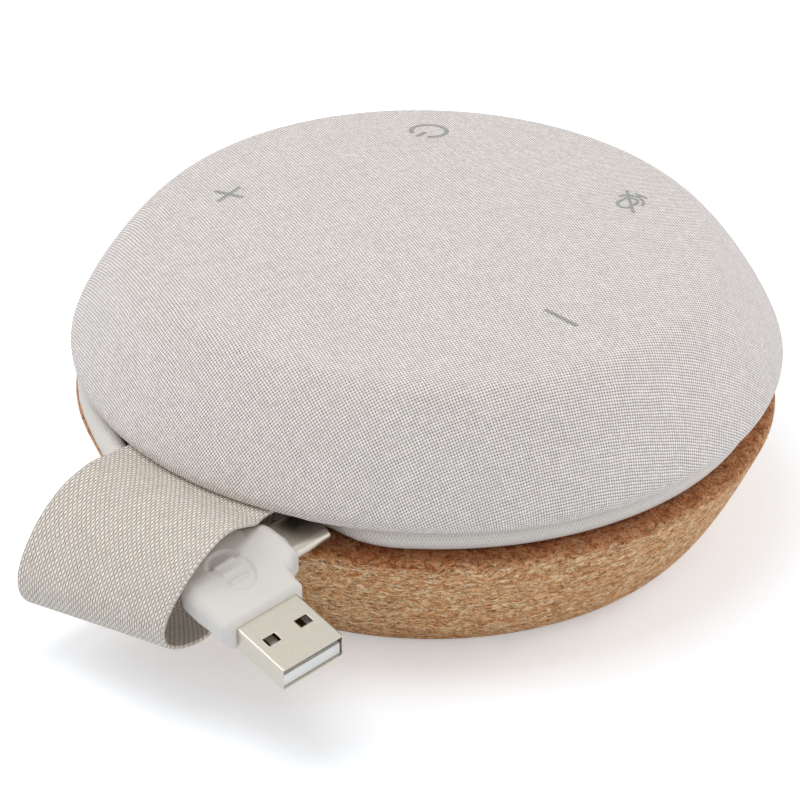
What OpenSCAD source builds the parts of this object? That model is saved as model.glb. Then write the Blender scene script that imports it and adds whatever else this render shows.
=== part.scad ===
// Conference speaker: a cloth-covered head on a cork base, with a cord wound between them.
// The origin is the middle of the foot on the table, +Z is up and the strap side is -Y.

/* [Head] */
// Radius of the head at its widest
head_r = 60; // [58:0.5:64]
// Height of the head from its underside to the middle of the crown
head_h = 25.4; // [25:0.2:29]
// Fall of the crown from its middle to its rim
crown_drop = 4.2; // [3.6:0.1:4.8]
// Width of the sloping shoulder around the crown
shoulder_w = 13.3; // [12:0.1:15]
// Rise from the underside to the widest line
edge_rise = 3; // [2.4:0.1:3.2]
// Depth of the rounding under the widest line
edge_round = 3.4; // [2.2:0.1:3.6]
// Thickness of the cloth
cloth_t = 0.8; // [0.5:0.1:1]
// Wall of the moulded shell
shell_t = 1.8; // [1.4:0.1:2.2]
// Width of the cloth's turn on the underside
hem_w = 7; // [5:0.5:8]

/* [Keys and microphones] */
// Distance of the keys from the axis, as a share of the head's radius
key_ring_share = 0.5933; // [0.585:0.001:0.6]
// Diameter of a key
key_d = 12; // [10:0.2:12.6]
// Gap around a key in its window
key_gap = 0.3; // [0.2:0.05:0.5]
// Travel of a key
key_travel = 0.35; // [0.2:0.05:0.5]
// Thickness of the circuit boards
board_t = 1.2; // [0.8:0.1:1.6]
// Depth of the key board's face under the top of the crown
key_board_depth = 11.6; // [11.4:0.2:13]
// Edge of a push switch
switch_w = 5; // [4.4:0.2:6]
// Height of a push switch
switch_h = 1.6; // [1.4:0.1:2]
// Diameter of a microphone port
mic_port_d = 1.6; // [1:0.1:2]

/* [Driver] */
// Space between the driver's flange and the keys
driver_gap = 1.3; // [0.9:0.1:1.8]
// Depth of the driver's flange under the top of the crown
driver_depth = 6.4; // [6:0.1:7]
// Distance of the driver's screws from its flange
driver_ear_out = 2.3; // [2:0.1:2.6]
// Thickness of the foam gasket on the flange
gasket_t = 0.8; // [0.5:0.1:1.2]
// Radius of the pole, as a share of the flange's
pole_share = 0.224; // [0.21:0.002:0.235]
// Radius of the ring magnet, as a share of the flange's
magnet_share = 0.625; // [0.56:0.005:0.65]
// Height of the ring magnet
magnet_h = 6; // [4:0.2:6]
// Travel of the cone each way
cone_travel = 0.5; // [0.3:0.05:0.6]
// Diameter of a hole in the speaker grille
grille_hole_d = 3; // [2:0.1:3.6]
// Spacing of the holes in the speaker grille
grille_pitch = 5.2; // [4.6:0.1:5.6]

/* [Groove and cord] */
// Height of the groove between base and head
groove_h = 4.8; // [4.4:0.1:5.2]
// Space between the spool and the innermost turn
neck_gap = 3.2; // [3:0.1:4]
// Wall of the spool
spool_t = 2.2; // [1.8:0.1:2.6]
// Diameter of the braided cord
cord_d = 4.2; // [4:0.1:4.2]
// Turns of cord in the groove
cord_turns = 3; // [2:1:3]
// Distance of the outer turn inside the head's edge
coil_sink = 3.1; // [2.7:0.1:3.5]

/* [Base] */
// Height of the base's top face above the table
base_h = 23.7; // [22:0.1:26]
// Distance of the base's rim inside the head's edge
rim_sink = 0.7; // [0:0.1:1.5]
// Distance of the base's flat bottom inside its rim
base_taper = 14.3; // [13:0.1:17]
// Rounding of the base's rim
rim_round = 1.4; // [1:0.1:1.8]
// Thickness of the cork floor
cork_floor_t = 3; // [2.6:0.1:3.4]
// Width of the cork around the rubber foot
foot_margin = 7; // [5.5:0.5:7.5]
// Thickness of the rubber foot
foot_t = 2; // [1.6:0.1:2.4]
// Height of the cork's bottom above the table
foot_proud = 0.5; // [0.3:0.1:0.8]
// Thickness of the inner pan's floor
pan_t = 2.5; // [2.2:0.1:3]
// Height of the spool's floor above the table
spool_floor_z = 17.5; // [16.5:0.1:18]
// Space around the main board, where the base screws stand
board_margin = 13; // [12:0.2:14]
// Height of the main board's posts
board_post_h = 4; // [3:0.1:5]

/* [Strap] */
// Width of the webbing
strap_w = 30.5; // [29:0.1:31]
// Thickness of the webbing
strap_t = 0.9; // [0.7:0.05:1]
// Direction in which the strap leaves the groove
strap_angle = 263; // [262:0.5:264]
// Sideways shift of the strap's middle line
strap_shift = 3; // [2.8:0.1:3.2]
// Depth of the recess that holds each end
strap_recess = 1.2; // [1.15:0.05:1.4]

/* [Plug] */
// Width of the USB-A shell
usb_a_w = 12; // [12:0.1:12]
// Height of the USB-A shell
usb_a_h = 4.5; // [4.5:0.1:4.5]
// Length of the USB-A shell outside the overmould
usb_a_len = 11.2; // [11:0.1:12]
// Width of the USB-C shell
usb_c_w = 8.34; // [8.34:0.01:8.34]
// Height of the USB-C shell
usb_c_h = 2.56; // [2.56:0.01:2.56]
// Length of the USB-C shell outside the overmould
usb_c_len = 6.65; // [6:0.05:6.65]
// Width of the overmould
plug_w = 16; // [15.4:0.1:16.2]
// Thickness of the overmould
plug_h = 7; // [6.8:0.1:7.6]
// Length of the overmould behind the USB-A shell
plug_len = 21; // [20:0.1:22]
// Width of the arm that carries the USB-C shell
arm_w = 12.4; // [12:0.1:13]

/* [Hidden] */

eps = 0.01;
// Clearance between fixed pieces that seat in one another
fit = 0.05;
// Clearance between pieces that move past each other
run = 0.3;
fine = 96;

// Levels
cork_z = foot_proud;
floor_z = cork_z + cork_floor_t;
under_z = base_h + groove_h;
wide_z = under_z + edge_rise;
top_z = under_z + head_h;
cord_z = base_h + groove_h / 2;
crown_r = head_r - shoulder_w;
skin_in = cloth_t + fit;
shell_in = skin_in + shell_t;
key_ring_r = key_ring_share * head_r;
key_board_z = top_z - key_board_depth;
flange_z = top_z - driver_depth;
lip_top_z = under_z + shell_in + fit;

// Radii, from the head's edge inwards
hem_r = head_r - hem_w;
mouth_r = head_r - 3;
coil_r = head_r - coil_sink;
coil_in_r = coil_r - cord_turns * cord_d - 0.1;
neck_r = coil_in_r - neck_gap;
rim_r = head_r - rim_sink;
bottom_r = rim_r - base_taper;
foot_r = bottom_r - foot_margin;
pan_r = neck_r;
cork_bore_r = neck_r + fit;
main_board_r = neck_r - board_margin;
base_screw_r = neck_r - board_margin / 2 - 0.5;
key_lip_w = 1.1;
driver_r = key_ring_r - key_d / 2 - key_lip_w - driver_gap;
driver_ear_r = driver_r + driver_ear_out;
pole_r = pole_share * driver_r;
magnet_r = magnet_share * driver_r;

// Angles of the four keys, of the microphones and of the posts
key_angles = [126, 54, 198, 342];
mic_angles = [18, 162, 270];
board_post_angles = [90, 234, 306];
ear_angles = [0, 90, 180, 270];
head_screw_angles = [45, 135, 225, 315];
base_screw_angles = [45, 135, 225, 315];
board_post_r = key_ring_r + 4;
mic_r = key_ring_r + 4.6;
head_screw_r = neck_r + 0.58 * (hem_r - neck_r);
gland_angle = 120;

// Screws: bore in plastic, thread, head, and the bites of the short and the long ones
screw_hole_d = 1.7;
thread_d = screw_hole_d - 0.1;
screw_head_d = 3.8;
screw_head_h = 1.2;
short_bite = 2.2;
long_bite = 4;

// Slack beside the strap in its recesses, and play around the cord's gland
recess_side = 0.5;
recess_extra = 4.6;
gland_d = 3.8;

// A point of a cubic curve with four control points
function curve_point(p, t) = pow(1 - t, 3) * p[0] + 3 * pow(1 - t, 2) * t * p[1]
    + 3 * (1 - t) * t * t * p[2] + pow(t, 3) * p[3];
function curve(p, n) = [for (i = [1:n]) curve_point(p, i / n)];

// The height of the crown's outside at radius r
function crown_z(r) = top_z - crown_drop * pow(r / crown_r, 2);

// The outside of the head from the middle of the crown to the hem on its underside
crown_slope = 2 * crown_drop / crown_r;
shoulder_handle = 4.4;
edge_handle = 2.2;
crown_rim = [crown_r, crown_z(crown_r)];
wide_point = [head_r, wide_z];
head_line = concat(
    [for (i = [0:12]) [crown_r * i / 12, crown_z(crown_r * i / 12)]],
    curve([crown_rim, crown_rim + shoulder_handle * [1, -crown_slope],
        wide_point + [0, edge_handle], wide_point], 14),
    [for (a = [15:15:90]) [head_r - edge_round * (1 - cos(a)), wide_z - edge_rise * sin(a)]],
    [[hem_r, under_z]]);

// The same line moved inwards by t
function direction(line, i) = let (d = line[min(i + 1, len(line) - 1)] - line[max(i - 1, 0)]) d / norm(d);
function inset(line, t) = [for (i = [0:len(line) - 1])
    let (d = direction(line, i), p = line[i] + t * [d[1], -d[0]])
    i == 0 ? [0, line[0][1] - t] : p];
function reverse(list) = [for (i = [len(list) - 1:-1:0]) list[i]];

module skin(from, to) {
    rotate_extrude($fn = fine)
        polygon(concat(inset(head_line, from), reverse(inset(head_line, to))));
}

module ring(r_in, r_out, z0, z1) {
    translate([0, 0, z0])
        difference() {
            cylinder(r = r_out, h = z1 - z0, $fn = fine);
            translate([0, 0, -1])
                cylinder(r = r_in, h = z1 - z0 + 2, $fn = fine);
        }
}

module at_polar(angle, r, z = 0) {
    rotate([0, 0, angle])
        translate([r, 0, z])
            children();
}

// A rectangle with rounded corners
module rounded_rectangle(w, h, r) {
    square([w - 2 * r, h], center = true);
    square([w, h - 2 * r], center = true);
    for (x = [-1, 1], y = [-1, 1])
        translate([x * (w / 2 - r), y * (h / 2 - r)])
            circle(r = r, $fn = 32);
}

// The recess in a cheek of the groove that takes an end of the strap
module strap_recess_cut(z0, z1) {
    rotate([0, 0, strap_angle])
        translate([neck_r, strap_shift - strap_w / 2 - recess_side, z0])
            cube([head_r - neck_r + 5, strap_w + recess_extra, z1 - z0]);
}

// Head

module cloth_cover() {
    color([0.86, 0.83, 0.81])
        difference() {
            skin(0, cloth_t);
            strap_recess_cut(under_z - 1, under_z + strap_recess);
        }
}

recess_r = driver_r - 2.6;
grille_rings = floor((recess_r - grille_hole_d / 2 - 0.8) / grille_pitch);
grille_places = [for (i = [-grille_rings:grille_rings], j = [-grille_rings:grille_rings])
    if (abs(i + j) <= grille_rings) grille_pitch * [i + j / 2, j * sqrt(3) / 2]];

// Height of the middle of the shell's wall at radius r
wall_line = [for (p = inset(head_line, skin_in + shell_t / 2)) if (p[1] > wide_z) p];
function wall_z(r) = lookup(r, wall_line);

module post(angle, r, d, z0) {
    at_polar(angle, r, z0)
        cylinder(d = d, h = wall_z(r + d / 2) - z0, $fn = 48);
}

boss_d = 6;
ear_post_d = 5;
key_window_d = key_d + 2 * key_gap;

module head_shell() {
    color([0.30, 0.29, 0.28])
        difference() {
            union() {
                skin(skin_in, shell_in);
                // Rim that the driver's gasket seals against
                ring(recess_r, driver_r, flange_z + gasket_t, wall_z(driver_r));
                for (a = ear_angles)
                    post(a, driver_ear_r, ear_post_d, flange_z + fit);
                for (a = board_post_angles)
                    post(a, board_post_r, ear_post_d, key_board_z + fit);
                for (a = head_screw_angles)
                    post(a, head_screw_r, boss_d, lip_top_z + fit);
            }
            for (p = grille_places)
                translate([p[0], p[1], flange_z + gasket_t + 1])
                    cylinder(d = grille_hole_d, h = driver_depth, $fn = 24);
            for (a = key_angles)
                at_polar(a, key_ring_r, key_board_z)
                    cylinder(d = key_window_d, h = key_board_depth, $fn = 64);
            for (a = mic_angles)
                at_polar(a, mic_r, key_board_z)
                    cylinder(d = mic_port_d, h = key_board_depth, $fn = 24);
            for (a = ear_angles)
                at_polar(a, driver_ear_r, flange_z - 1)
                    cylinder(d = screw_hole_d, h = 1 + short_bite + 0.4, $fn = 24);
            for (a = board_post_angles)
                at_polar(a, board_post_r, key_board_z - 1)
                    cylinder(d = screw_hole_d, h = 1 + long_bite + 1, $fn = 24);
            for (a = head_screw_angles)
                at_polar(a, head_screw_r, lip_top_z - 1)
                    cylinder(d = screw_hole_d, h = 1 + long_bite + 3, $fn = 24);
            strap_recess_cut(under_z - 1, under_z + strap_recess);
        }
}

// A disc cut from the skin's own form between two depths
module skin_disc(angle, d, from, to) {
    intersection() {
        skin(from, to);
        at_polar(angle, key_ring_r, key_board_z)
            cylinder(d = d, h = key_board_depth, $fn = 64);
    }
}

key_skin_gap = 0.3;
key_lip_t = 1;
stem_d = 2.4;
stem_reach = 0.7;

module key(angle) {
    lip_from = shell_in + run;
    color([0.72, 0.71, 0.70])
        union() {
            skin_disc(angle, key_d, cloth_t + key_skin_gap, lip_from + key_lip_t / 2);
            skin_disc(angle, key_d + 2 * key_lip_w, lip_from, lip_from + key_lip_t);
            at_polar(angle, key_ring_r, key_board_z + switch_h - stem_reach)
                cylinder(d = stem_d, h = crown_z(key_ring_r) - lip_from - key_lip_t / 2
                    - key_board_z - switch_h + stem_reach, $fn = 32);
        }
}
module key_power() { key(key_angles[0]); }
module key_mute() { key(key_angles[1]); }
module key_plus() { key(key_angles[2]); }
module key_minus() { key(key_angles[3]); }

key_board_in = key_ring_r - 3.2;
key_board_out = key_ring_r + 8;

module key_board() {
    color([0.10, 0.32, 0.20])
        difference() {
            ring(key_board_in, key_board_out, key_board_z - board_t, key_board_z);
            for (a = board_post_angles)
                at_polar(a, board_post_r, key_board_z - board_t - 1)
                    cylinder(d = 2.2, h = board_t + 2, $fn = 24);
        }
}

module push_switches() {
    color([0.16, 0.16, 0.17])
        for (a = key_angles)
            at_polar(a, key_ring_r, key_board_z)
                difference() {
                    translate([-switch_w / 2, -switch_w / 2, 0])
                        cube([switch_w, switch_w, switch_h]);
                    translate([0, 0, switch_h - stem_reach - key_travel - 0.1])
                        cylinder(d = stem_d + 0.4, h = switch_h, $fn = 32);
                }
}

module microphones() {
    color([0.80, 0.78, 0.72])
        for (a = mic_angles)
            at_polar(a, mic_r, key_board_z)
                difference() {
                    translate([-1.5, -2, 0])
                        cube([3, 4, 1.1]);
                    translate([0, 0, 0.6])
                        cylinder(d = 0.8, h = 1, $fn = 24);
                }
}

// A screw with its head down and its thread up
module screw(angle, r, z, thread_d, length, head_d, head_h) {
    at_polar(angle, r, z)
        difference() {
            union() {
                translate([0, 0, -head_h])
                    cylinder(d = head_d, h = head_h, $fn = 32);
                translate([0, 0, -eps])
                    cylinder(d = thread_d, h = length + eps, $fn = 24);
            }
            translate([0, 0, -head_h - 1])
                cylinder(d = head_d * 0.45, h = 1 + head_h * 0.6, $fn = 6);
        }
}

module board_screws() {
    color("silver")
        for (a = board_post_angles)
            screw(a, board_post_r, key_board_z - board_t, thread_d, board_t + long_bite, screw_head_d, screw_head_h);
}

// Driver, with its levels counted from the top of its flange

flange_t = 1;
flange_in = driver_r - 4.6;
basket_low_r = magnet_r - 1.5;
spider_r = basket_low_r - 1.1;
ledge_r = basket_low_r + 0.28 * (flange_in - basket_low_r) + 0.2;
basket_h = 11.5;
top_plate_t = 2;
yoke_t = 2.5;
top_plate_z = flange_z - basket_h - 1 - top_plate_t;
magnet_z = top_plate_z - magnet_h;
yoke_z = magnet_z - yoke_t;
coil_gap = 0.3;
coil_in = pole_r + coil_gap;
former_t = 0.25;
winding_t = 0.35;
gap_out = coil_in + former_t + winding_t + coil_gap;
cone_depth = 5.2;
cone_edge_z = flange_z - 1.2;
neck_z = cone_edge_z - cone_depth;
cone_r = flange_in - 3.2;
cone_t = 0.6;
cone_in = coil_in + former_t + 0.05;

module driver_gasket() {
    color([0.14, 0.14, 0.14])
        ring(recess_r + 0.1, driver_r - 0.4, flange_z + fit, flange_z + gasket_t - fit);
}

module driver_basket() {
    color([0.24, 0.24, 0.25])
        difference() {
            union() {
                rotate_extrude($fn = fine)
                    polygon([[flange_in, flange_z - 1.5], [driver_r, flange_z - 1.5], [driver_r, flange_z],
                        [recess_r, flange_z], [recess_r, flange_z - 0.5], [flange_in, flange_z - 0.5]]);
                // Sloping frame and the seat on the magnet
                rotate_extrude($fn = fine)
                    polygon([[flange_in, flange_z - 1.5], [flange_in + 1.2, flange_z - 1.5],
                        [basket_low_r + 1.2, flange_z - basket_h], [basket_low_r + 1.2, flange_z - basket_h - 1],
                        [gap_out + 0.6, flange_z - basket_h - 1], [gap_out + 0.6, flange_z - basket_h],
                        [basket_low_r, flange_z - basket_h]]);
                // Ledge under the spider
                ring(spider_r - 1, ledge_r, flange_z - 9.2, flange_z - 8.2);
                for (a = ear_angles)
                    at_polar(a, 0, flange_z - flange_t)
                        difference() {
                            hull() {
                                translate([driver_r - 2, 0, 0])
                                    cylinder(d = 8, h = flange_t, $fn = 32);
                                translate([driver_ear_r, 0, 0])
                                    cylinder(d = ear_post_d, h = flange_t, $fn = 32);
                            }
                            translate([0, 0, -1])
                                cylinder(r = recess_r + 0.4, h = flange_t + 2, $fn = fine);
                        }
            }
            for (a = ear_angles)
                at_polar(a, driver_ear_r, flange_z - flange_t - 1)
                    cylinder(d = 2.2, h = flange_t + 2, $fn = 24);
            // Windows in the sloping frame
            for (a = [45:90:315])
                at_polar(a, 0, flange_z - 5)
                    rotate([0, 90, 0])
                        cylinder(d = 6, h = driver_r, $fn = 32);
        }
}

module driver_top_plate() {
    color([0.62, 0.62, 0.63])
        ring(gap_out, magnet_r - 2, top_plate_z, top_plate_z + top_plate_t);
}

module driver_magnet() {
    color([0.20, 0.20, 0.21])
        ring(gap_out + 1.8, magnet_r, magnet_z, top_plate_z);
}

module driver_yoke() {
    color([0.62, 0.62, 0.63])
        rotate_extrude($fn = fine)
            polygon([[0, yoke_z], [magnet_r - 0.8, yoke_z], [magnet_r - 0.8, magnet_z], [pole_r, magnet_z],
                [pole_r, top_plate_z + top_plate_t], [0, top_plate_z + top_plate_t]]);
}

module voice_coil() {
    winding_z = top_plate_z - 2 * cone_travel;
    winding_top = top_plate_z + top_plate_t + 2 * cone_travel;
    color([0.72, 0.45, 0.20])
        rotate_extrude($fn = fine)
            polygon([[coil_in, winding_z], [coil_in + former_t + winding_t, winding_z],
                [coil_in + former_t + winding_t, winding_top], [coil_in + former_t, winding_top],
                [coil_in + former_t, neck_z + 0.8], [coil_in, neck_z + 0.8]]);
}

module speaker_cone() {
    color([0.12, 0.12, 0.12])
        rotate_extrude($fn = fine)
            polygon([[cone_in, neck_z], [cone_in + 1, neck_z], [cone_r, cone_edge_z], [cone_r + 1, cone_edge_z],
                [cone_r + 1, cone_edge_z + cone_t], [cone_r - 0.2, cone_edge_z + cone_t],
                [cone_in + 0.8, neck_z + cone_t], [cone_in, neck_z + cone_t]]);
}

// Height of the cone's upper side at radius r
function cone_top_z(r) = neck_z + cone_t
    + (r - cone_in - 0.8) * (cone_edge_z - neck_z) / (cone_r - cone_in - 1);

module dust_cap() {
    cap_r = cone_in + 1.6;
    cap_rise = 2.6;
    cap_t = 0.4;
    foot_z = cone_top_z(cap_r) + 0.1;
    outside = [for (a = [0:10:90]) [cap_r * cos(a), foot_z + cap_rise * sin(a)]];
    inside = [for (a = [90:-10:0]) [(cap_r - cap_t) * cos(a), foot_z + (cap_rise - cap_t) * sin(a)]];
    color([0.12, 0.12, 0.12])
        rotate_extrude($fn = fine)
            polygon(concat(outside, inside));
}

// Half roll between the cone's edge and the flange
module cone_surround() {
    lip_z = cone_edge_z + cone_t + fit;
    roll_in = cone_r + 1;
    roll_mid = (roll_in + flange_in) / 2;
    roll_r = (flange_in - roll_in) / 2;
    t = 0.35;
    outside = [for (a = [180:-15:0]) [roll_mid + roll_r * cos(a), lip_z + t + (roll_r + 0.2) * sin(a)]];
    inside = [for (a = [0:15:180]) [roll_mid + (roll_r - t) * cos(a), lip_z + (roll_r - 0.15) * sin(a)]];
    color([0.10, 0.10, 0.10])
        rotate_extrude($fn = fine)
            polygon(concat([[cone_r + 0.1, lip_z], [cone_r + 0.1, lip_z + t]], outside,
                [[recess_r - 0.1, lip_z + t], [recess_r - 0.1, lip_z + t - 0.3], [flange_in, lip_z + t - 0.3]],
                inside));
}

// Corrugated disc that centres the coil
module cone_spider() {
    z = flange_z - 8.2 + fit;
    r_in = coil_in + former_t + fit;
    steps = 24;
    wave = [for (i = [0:steps]) [r_in + (spider_r - r_in) * i / steps, z + 0.35 + 0.3 * sin(i * 60 + 90)]];
    color([0.80, 0.62, 0.30])
        rotate_extrude($fn = fine)
            polygon(concat([for (p = wave) p + [0, 0.25]], reverse([for (p = wave) p - [0, 0.05]])));
}

module driver_screws() {
    color("silver")
        for (a = ear_angles)
            screw(a, driver_ear_r, flange_z - flange_t, thread_d, flange_t + short_bite, screw_head_d, screw_head_h);
}

// Spool, base and foot

head_screw_sink = 1.4;
spool_floor_in = neck_r - board_margin;
spool_floor_t = 2;
spool_boss_d = 7;
spool_boss_h = 5;
base_hole_d = 2.5;

module cord_spool() {
    inner = neck_r - spool_t;
    color([0.34, 0.33, 0.32])
        difference() {
            union() {
                rotate_extrude($fn = fine)
                    polygon([[spool_floor_in, spool_floor_z], [neck_r, spool_floor_z], [neck_r, under_z],
                        [hem_r - run, under_z], [hem_r - run, lip_top_z], [inner, lip_top_z],
                        [inner, spool_floor_z + spool_floor_t], [spool_floor_in, spool_floor_z + spool_floor_t]]);
                for (a = base_screw_angles)
                    at_polar(a, base_screw_r, spool_floor_z)
                        cylinder(d = spool_boss_d, h = spool_floor_t + spool_boss_h, $fn = 48);
            }
            for (a = head_screw_angles)
                at_polar(a, head_screw_r, under_z - 1) {
                    cylinder(d = 2.2, h = 10, $fn = 24);
                    cylinder(d = 4.4, h = 1 + head_screw_sink, $fn = 32);
                }
            for (a = base_screw_angles)
                at_polar(a, base_screw_r, spool_floor_z - 1)
                    cylinder(d = base_hole_d, h = spool_boss_h + spool_floor_t, $fn = 24);
            at_polar(gland_angle, inner - 4, cord_z)
                rotate([0, 90, 0])
                    cylinder(d = gland_d, h = spool_t + 8, $fn = 32);
            strap_recess_cut(under_z - 1, under_z + strap_recess);
        }
}

module cord_gland() {
    inner = neck_r - spool_t;
    color([0.20, 0.20, 0.20])
        at_polar(gland_angle, 0, cord_z)
            rotate([0, 90, 0])
                difference() {
                    union() {
                        translate([0, 0, inner - 4])
                            cylinder(d = gland_d - 0.1, h = coil_in_r - inner + 4 - 0.1, $fn = 32);
                        translate([0, 0, inner - 4])
                            cylinder(d = gland_d + 2.6, h = 3.6, $fn = 32);
                    }
                    translate([0, 0, inner - 5])
                        cylinder(d = 2.2, h = coil_in_r, $fn = 32);
                }
}

module head_screws() {
    color("silver")
        for (a = head_screw_angles)
            screw(a, head_screw_r, under_z + head_screw_sink, thread_d, lip_top_z - under_z + long_bite + 1,
                screw_head_d, screw_head_h);
}

// The cork bowl's outline from its flat bottom to its top face
cork_wall = curve([[bottom_r, cork_z], [bottom_r + 0.37 * base_taper, cork_z], [rim_r - 3.2, 0.62 * base_h],
    [rim_r, base_h - rim_round]], 16);

module cork_base() {
    color([0.77, 0.57, 0.39])
        difference() {
            rotate_extrude($fn = fine)
                polygon(concat([[0, cork_z], [bottom_r, cork_z]], cork_wall,
                    [for (a = [18:18:90]) [rim_r - rim_round * (1 - cos(a)), base_h - rim_round * (1 - sin(a))]],
                    [[cork_bore_r, base_h], [cork_bore_r, floor_z], [0, floor_z]]));
            translate([0, 0, cork_z - 1])
                cylinder(r = foot_r + fit, h = 1 + foot_t - foot_proud + fit, $fn = fine);
            for (a = base_screw_angles)
                at_polar(a, base_screw_r, cork_z - 1)
                    cylinder(d = 6.4, h = cork_floor_t + 2, $fn = 32);
            strap_recess_cut(base_h - strap_recess, base_h + 1);
        }
}

pan_wall = 1.6;
base_screw_sink = 1.8;
pan_z = floor_z + fit;
column_d = 7;
board_post_ring = main_board_r - 6;

module base_pan() {
    color([0.34, 0.33, 0.32])
        difference() {
            union() {
                difference() {
                    translate([0, 0, pan_z])
                        cylinder(r = pan_r, h = spool_floor_z - fit - pan_z, $fn = fine);
                    translate([0, 0, pan_z + pan_t])
                        cylinder(r = pan_r - pan_wall, h = spool_floor_z, $fn = fine);
                }
                for (a = base_screw_angles)
                    at_polar(a, base_screw_r, pan_z)
                        cylinder(d = column_d, h = spool_floor_z - fit - pan_z, $fn = 48);
                for (a = ear_angles)
                    at_polar(a, board_post_ring, pan_z)
                        cylinder(d = 5, h = pan_t + board_post_h, $fn = 32);
            }
            for (a = base_screw_angles)
                at_polar(a, base_screw_r, pan_z - 1) {
                    cylinder(d = 3, h = spool_floor_z, $fn = 24);
                    cylinder(d = 5.6, h = 1 + base_screw_sink, $fn = 32);
                }
        }
}

main_board_z = pan_z + pan_t + board_post_h + fit;

module main_board() {
    color([0.10, 0.32, 0.20])
        difference() {
            translate([0, 0, main_board_z])
                cylinder(r = main_board_r, h = board_t, $fn = fine);
            translate([0, -main_board_r, main_board_z - 1])
                translate([-0.18 * main_board_r, -2, 0])
                    cube([0.36 * main_board_r, 6, board_t + 2]);
        }
}

// A part on the board, with its place and size as shares of the board's radius
module chip(x, y, w, l, h) {
    translate([x * main_board_r, y * main_board_r, main_board_z + board_t])
        cube([w * main_board_r, l * main_board_r, h * board_t]);
}

// Shield can, codec, memory, the cord's connector and two capacitors
module board_parts() {
    color([0.55, 0.55, 0.56]) {
        chip(-0.53, -0.07, 0.5, 0.5, 1.7);
        chip(0.15, 0.11, 0.25, 0.25, 0.8);
        chip(0.15, -0.28, 0.18, 0.2, 0.75);
        chip(-0.21, -0.64, 0.42, 0.18, 3.3);
        for (x = [-0.5, 0.57])
            translate([x * main_board_r, -0.32 * main_board_r, main_board_z + board_t])
                cylinder(r = 0.09 * main_board_r, h = 4.5 * board_t, $fn = 32);
    }
}

module base_screws() {
    color("silver")
        for (a = base_screw_angles)
            screw(a, base_screw_r, pan_z + base_screw_sink, base_hole_d - 0.1,
                spool_floor_z - pan_z - base_screw_sink + spool_boss_h - 1.2, 5, base_screw_sink - 0.1);
}

module rubber_foot() {
    color([0.16, 0.16, 0.16])
        rotate_extrude($fn = fine)
            polygon([[0, 0], [foot_r - 0.3, 0], [foot_r, 0.3], [foot_r, foot_t], [0, foot_t]]);
}

// Strap: points along its two edges, as reach beyond the groove's mouth, height above the
// cord's level and sideways slant

strap_high_z = groove_h / 2 + strap_recess / 2;
strap_low_z = -strap_high_z;
strap_end = neck_r - mouth_r + 0.4;
strap_near = [[strap_end, strap_high_z, 0], [-6, strap_high_z, 0], [0, strap_high_z, 0],
    [2.8, strap_high_z, 0.6], [5.8, 4.2, 1.2], [9.2, 5.4, 1.8], [13.2, 5.3, 2.4], [17, 3.6, 2.6],
    [20.4, 0.8, 2.5], [22.7, -2.9, 1.9], [23.6, -7.2, 1], [22.3, -10.8, 0.4], [18.8, -13, 0], [14.4, -13.7, 0],
    [10, -13.3, -0.8], [6, -11, -1.8], [4, -7.6, -2.6], [3.5, -5.5, -3.2], [3.1, -4, -3.2], [2.5, -3.1, -3.2],
    [0.6, strap_low_z, -3.2], [-7, strap_low_z, -2], [strap_end, strap_low_z, 0]];
strap_far = [[strap_end, strap_high_z, 0], [-6, strap_high_z, 0], [0, strap_high_z, 0],
    [2.7, strap_high_z, 0], [5, 3.1, 0], [8, 3.4, 0], [11.6, 3, 0], [16.2, 1.3, 0], [20.6, -2.1, 0],
    [24, -6.7, 0], [25.4, -10.7, 0], [24.8, -14.5, 0], [22, -17.1, 0], [17, -17.9, 0], [12, -17.1, 0], [7.4, -13.7, 0],
    [4.6, -9.1, 0], [3.6, -5.7, 0], [3.1, -4, 0], [2.5, -3.1, 0], [0.6, strap_low_z, 0],
    [-7, strap_low_z, 0], [strap_end, strap_low_z, 0]];

// A smooth line through the points
function through(p, i, t) = let (a = p[max(i - 1, 0)], b = p[i], c = p[i + 1], d = p[min(i + 2, len(p) - 1)])
    b + t * (c - a) / 2 + t * t * (2 * a - 5 * b + 4 * c - d) / 2 + t * t * t * (3 * b - a - 3 * c + d) / 2;
function smooth(p, n) = concat([for (i = [0:len(p) - 2], k = [0:n - 1]) through(p, i, k / n)], [p[len(p) - 1]]);

// One face of an edge, half the webbing's thickness from its middle line
function strap_face(line, half) = let (flat = [for (p = line) [p[0], p[1]]], moved = inset(flat, half))
    [for (i = [0:len(line) - 1])
        let (p = i == 0 ? flat[0] - [0, half] : moved[i]) [p[0], p[1], line[i][2]]];

module strap() {
    near = smooth(strap_near, 3);
    far = smooth(strap_far, 3);
    n = len(near);
    half = strap_t / 2;
    near_faces = [strap_face(near, half), strap_face(near, -half)];
    far_faces = [strap_face(far, half), strap_face(far, -half)];
    function place(p, side) = [mouth_r + p[0], strap_shift + side * strap_w / 2 + p[2], cord_z + p[1]];
    points = [for (i = [0:n - 1])
        each [place(near_faces[0][i], 1), place(far_faces[0][i], -1),
            place(far_faces[1][i], -1), place(near_faces[1][i], 1)]];
    sides = [for (i = [0:n - 2], k = [0:3])
        [4 * i + k, 4 * i + (k + 1) % 4, 4 * i + 4 + (k + 1) % 4, 4 * i + 4 + k]];
    color([0.80, 0.76, 0.72])
        rotate([0, 0, strap_angle])
            polyhedron(points, concat([[3, 2, 1, 0]], sides, [[for (k = [0:3]) 4 * (n - 1) + k]]), convexity = 6);
}

// Cord

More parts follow.
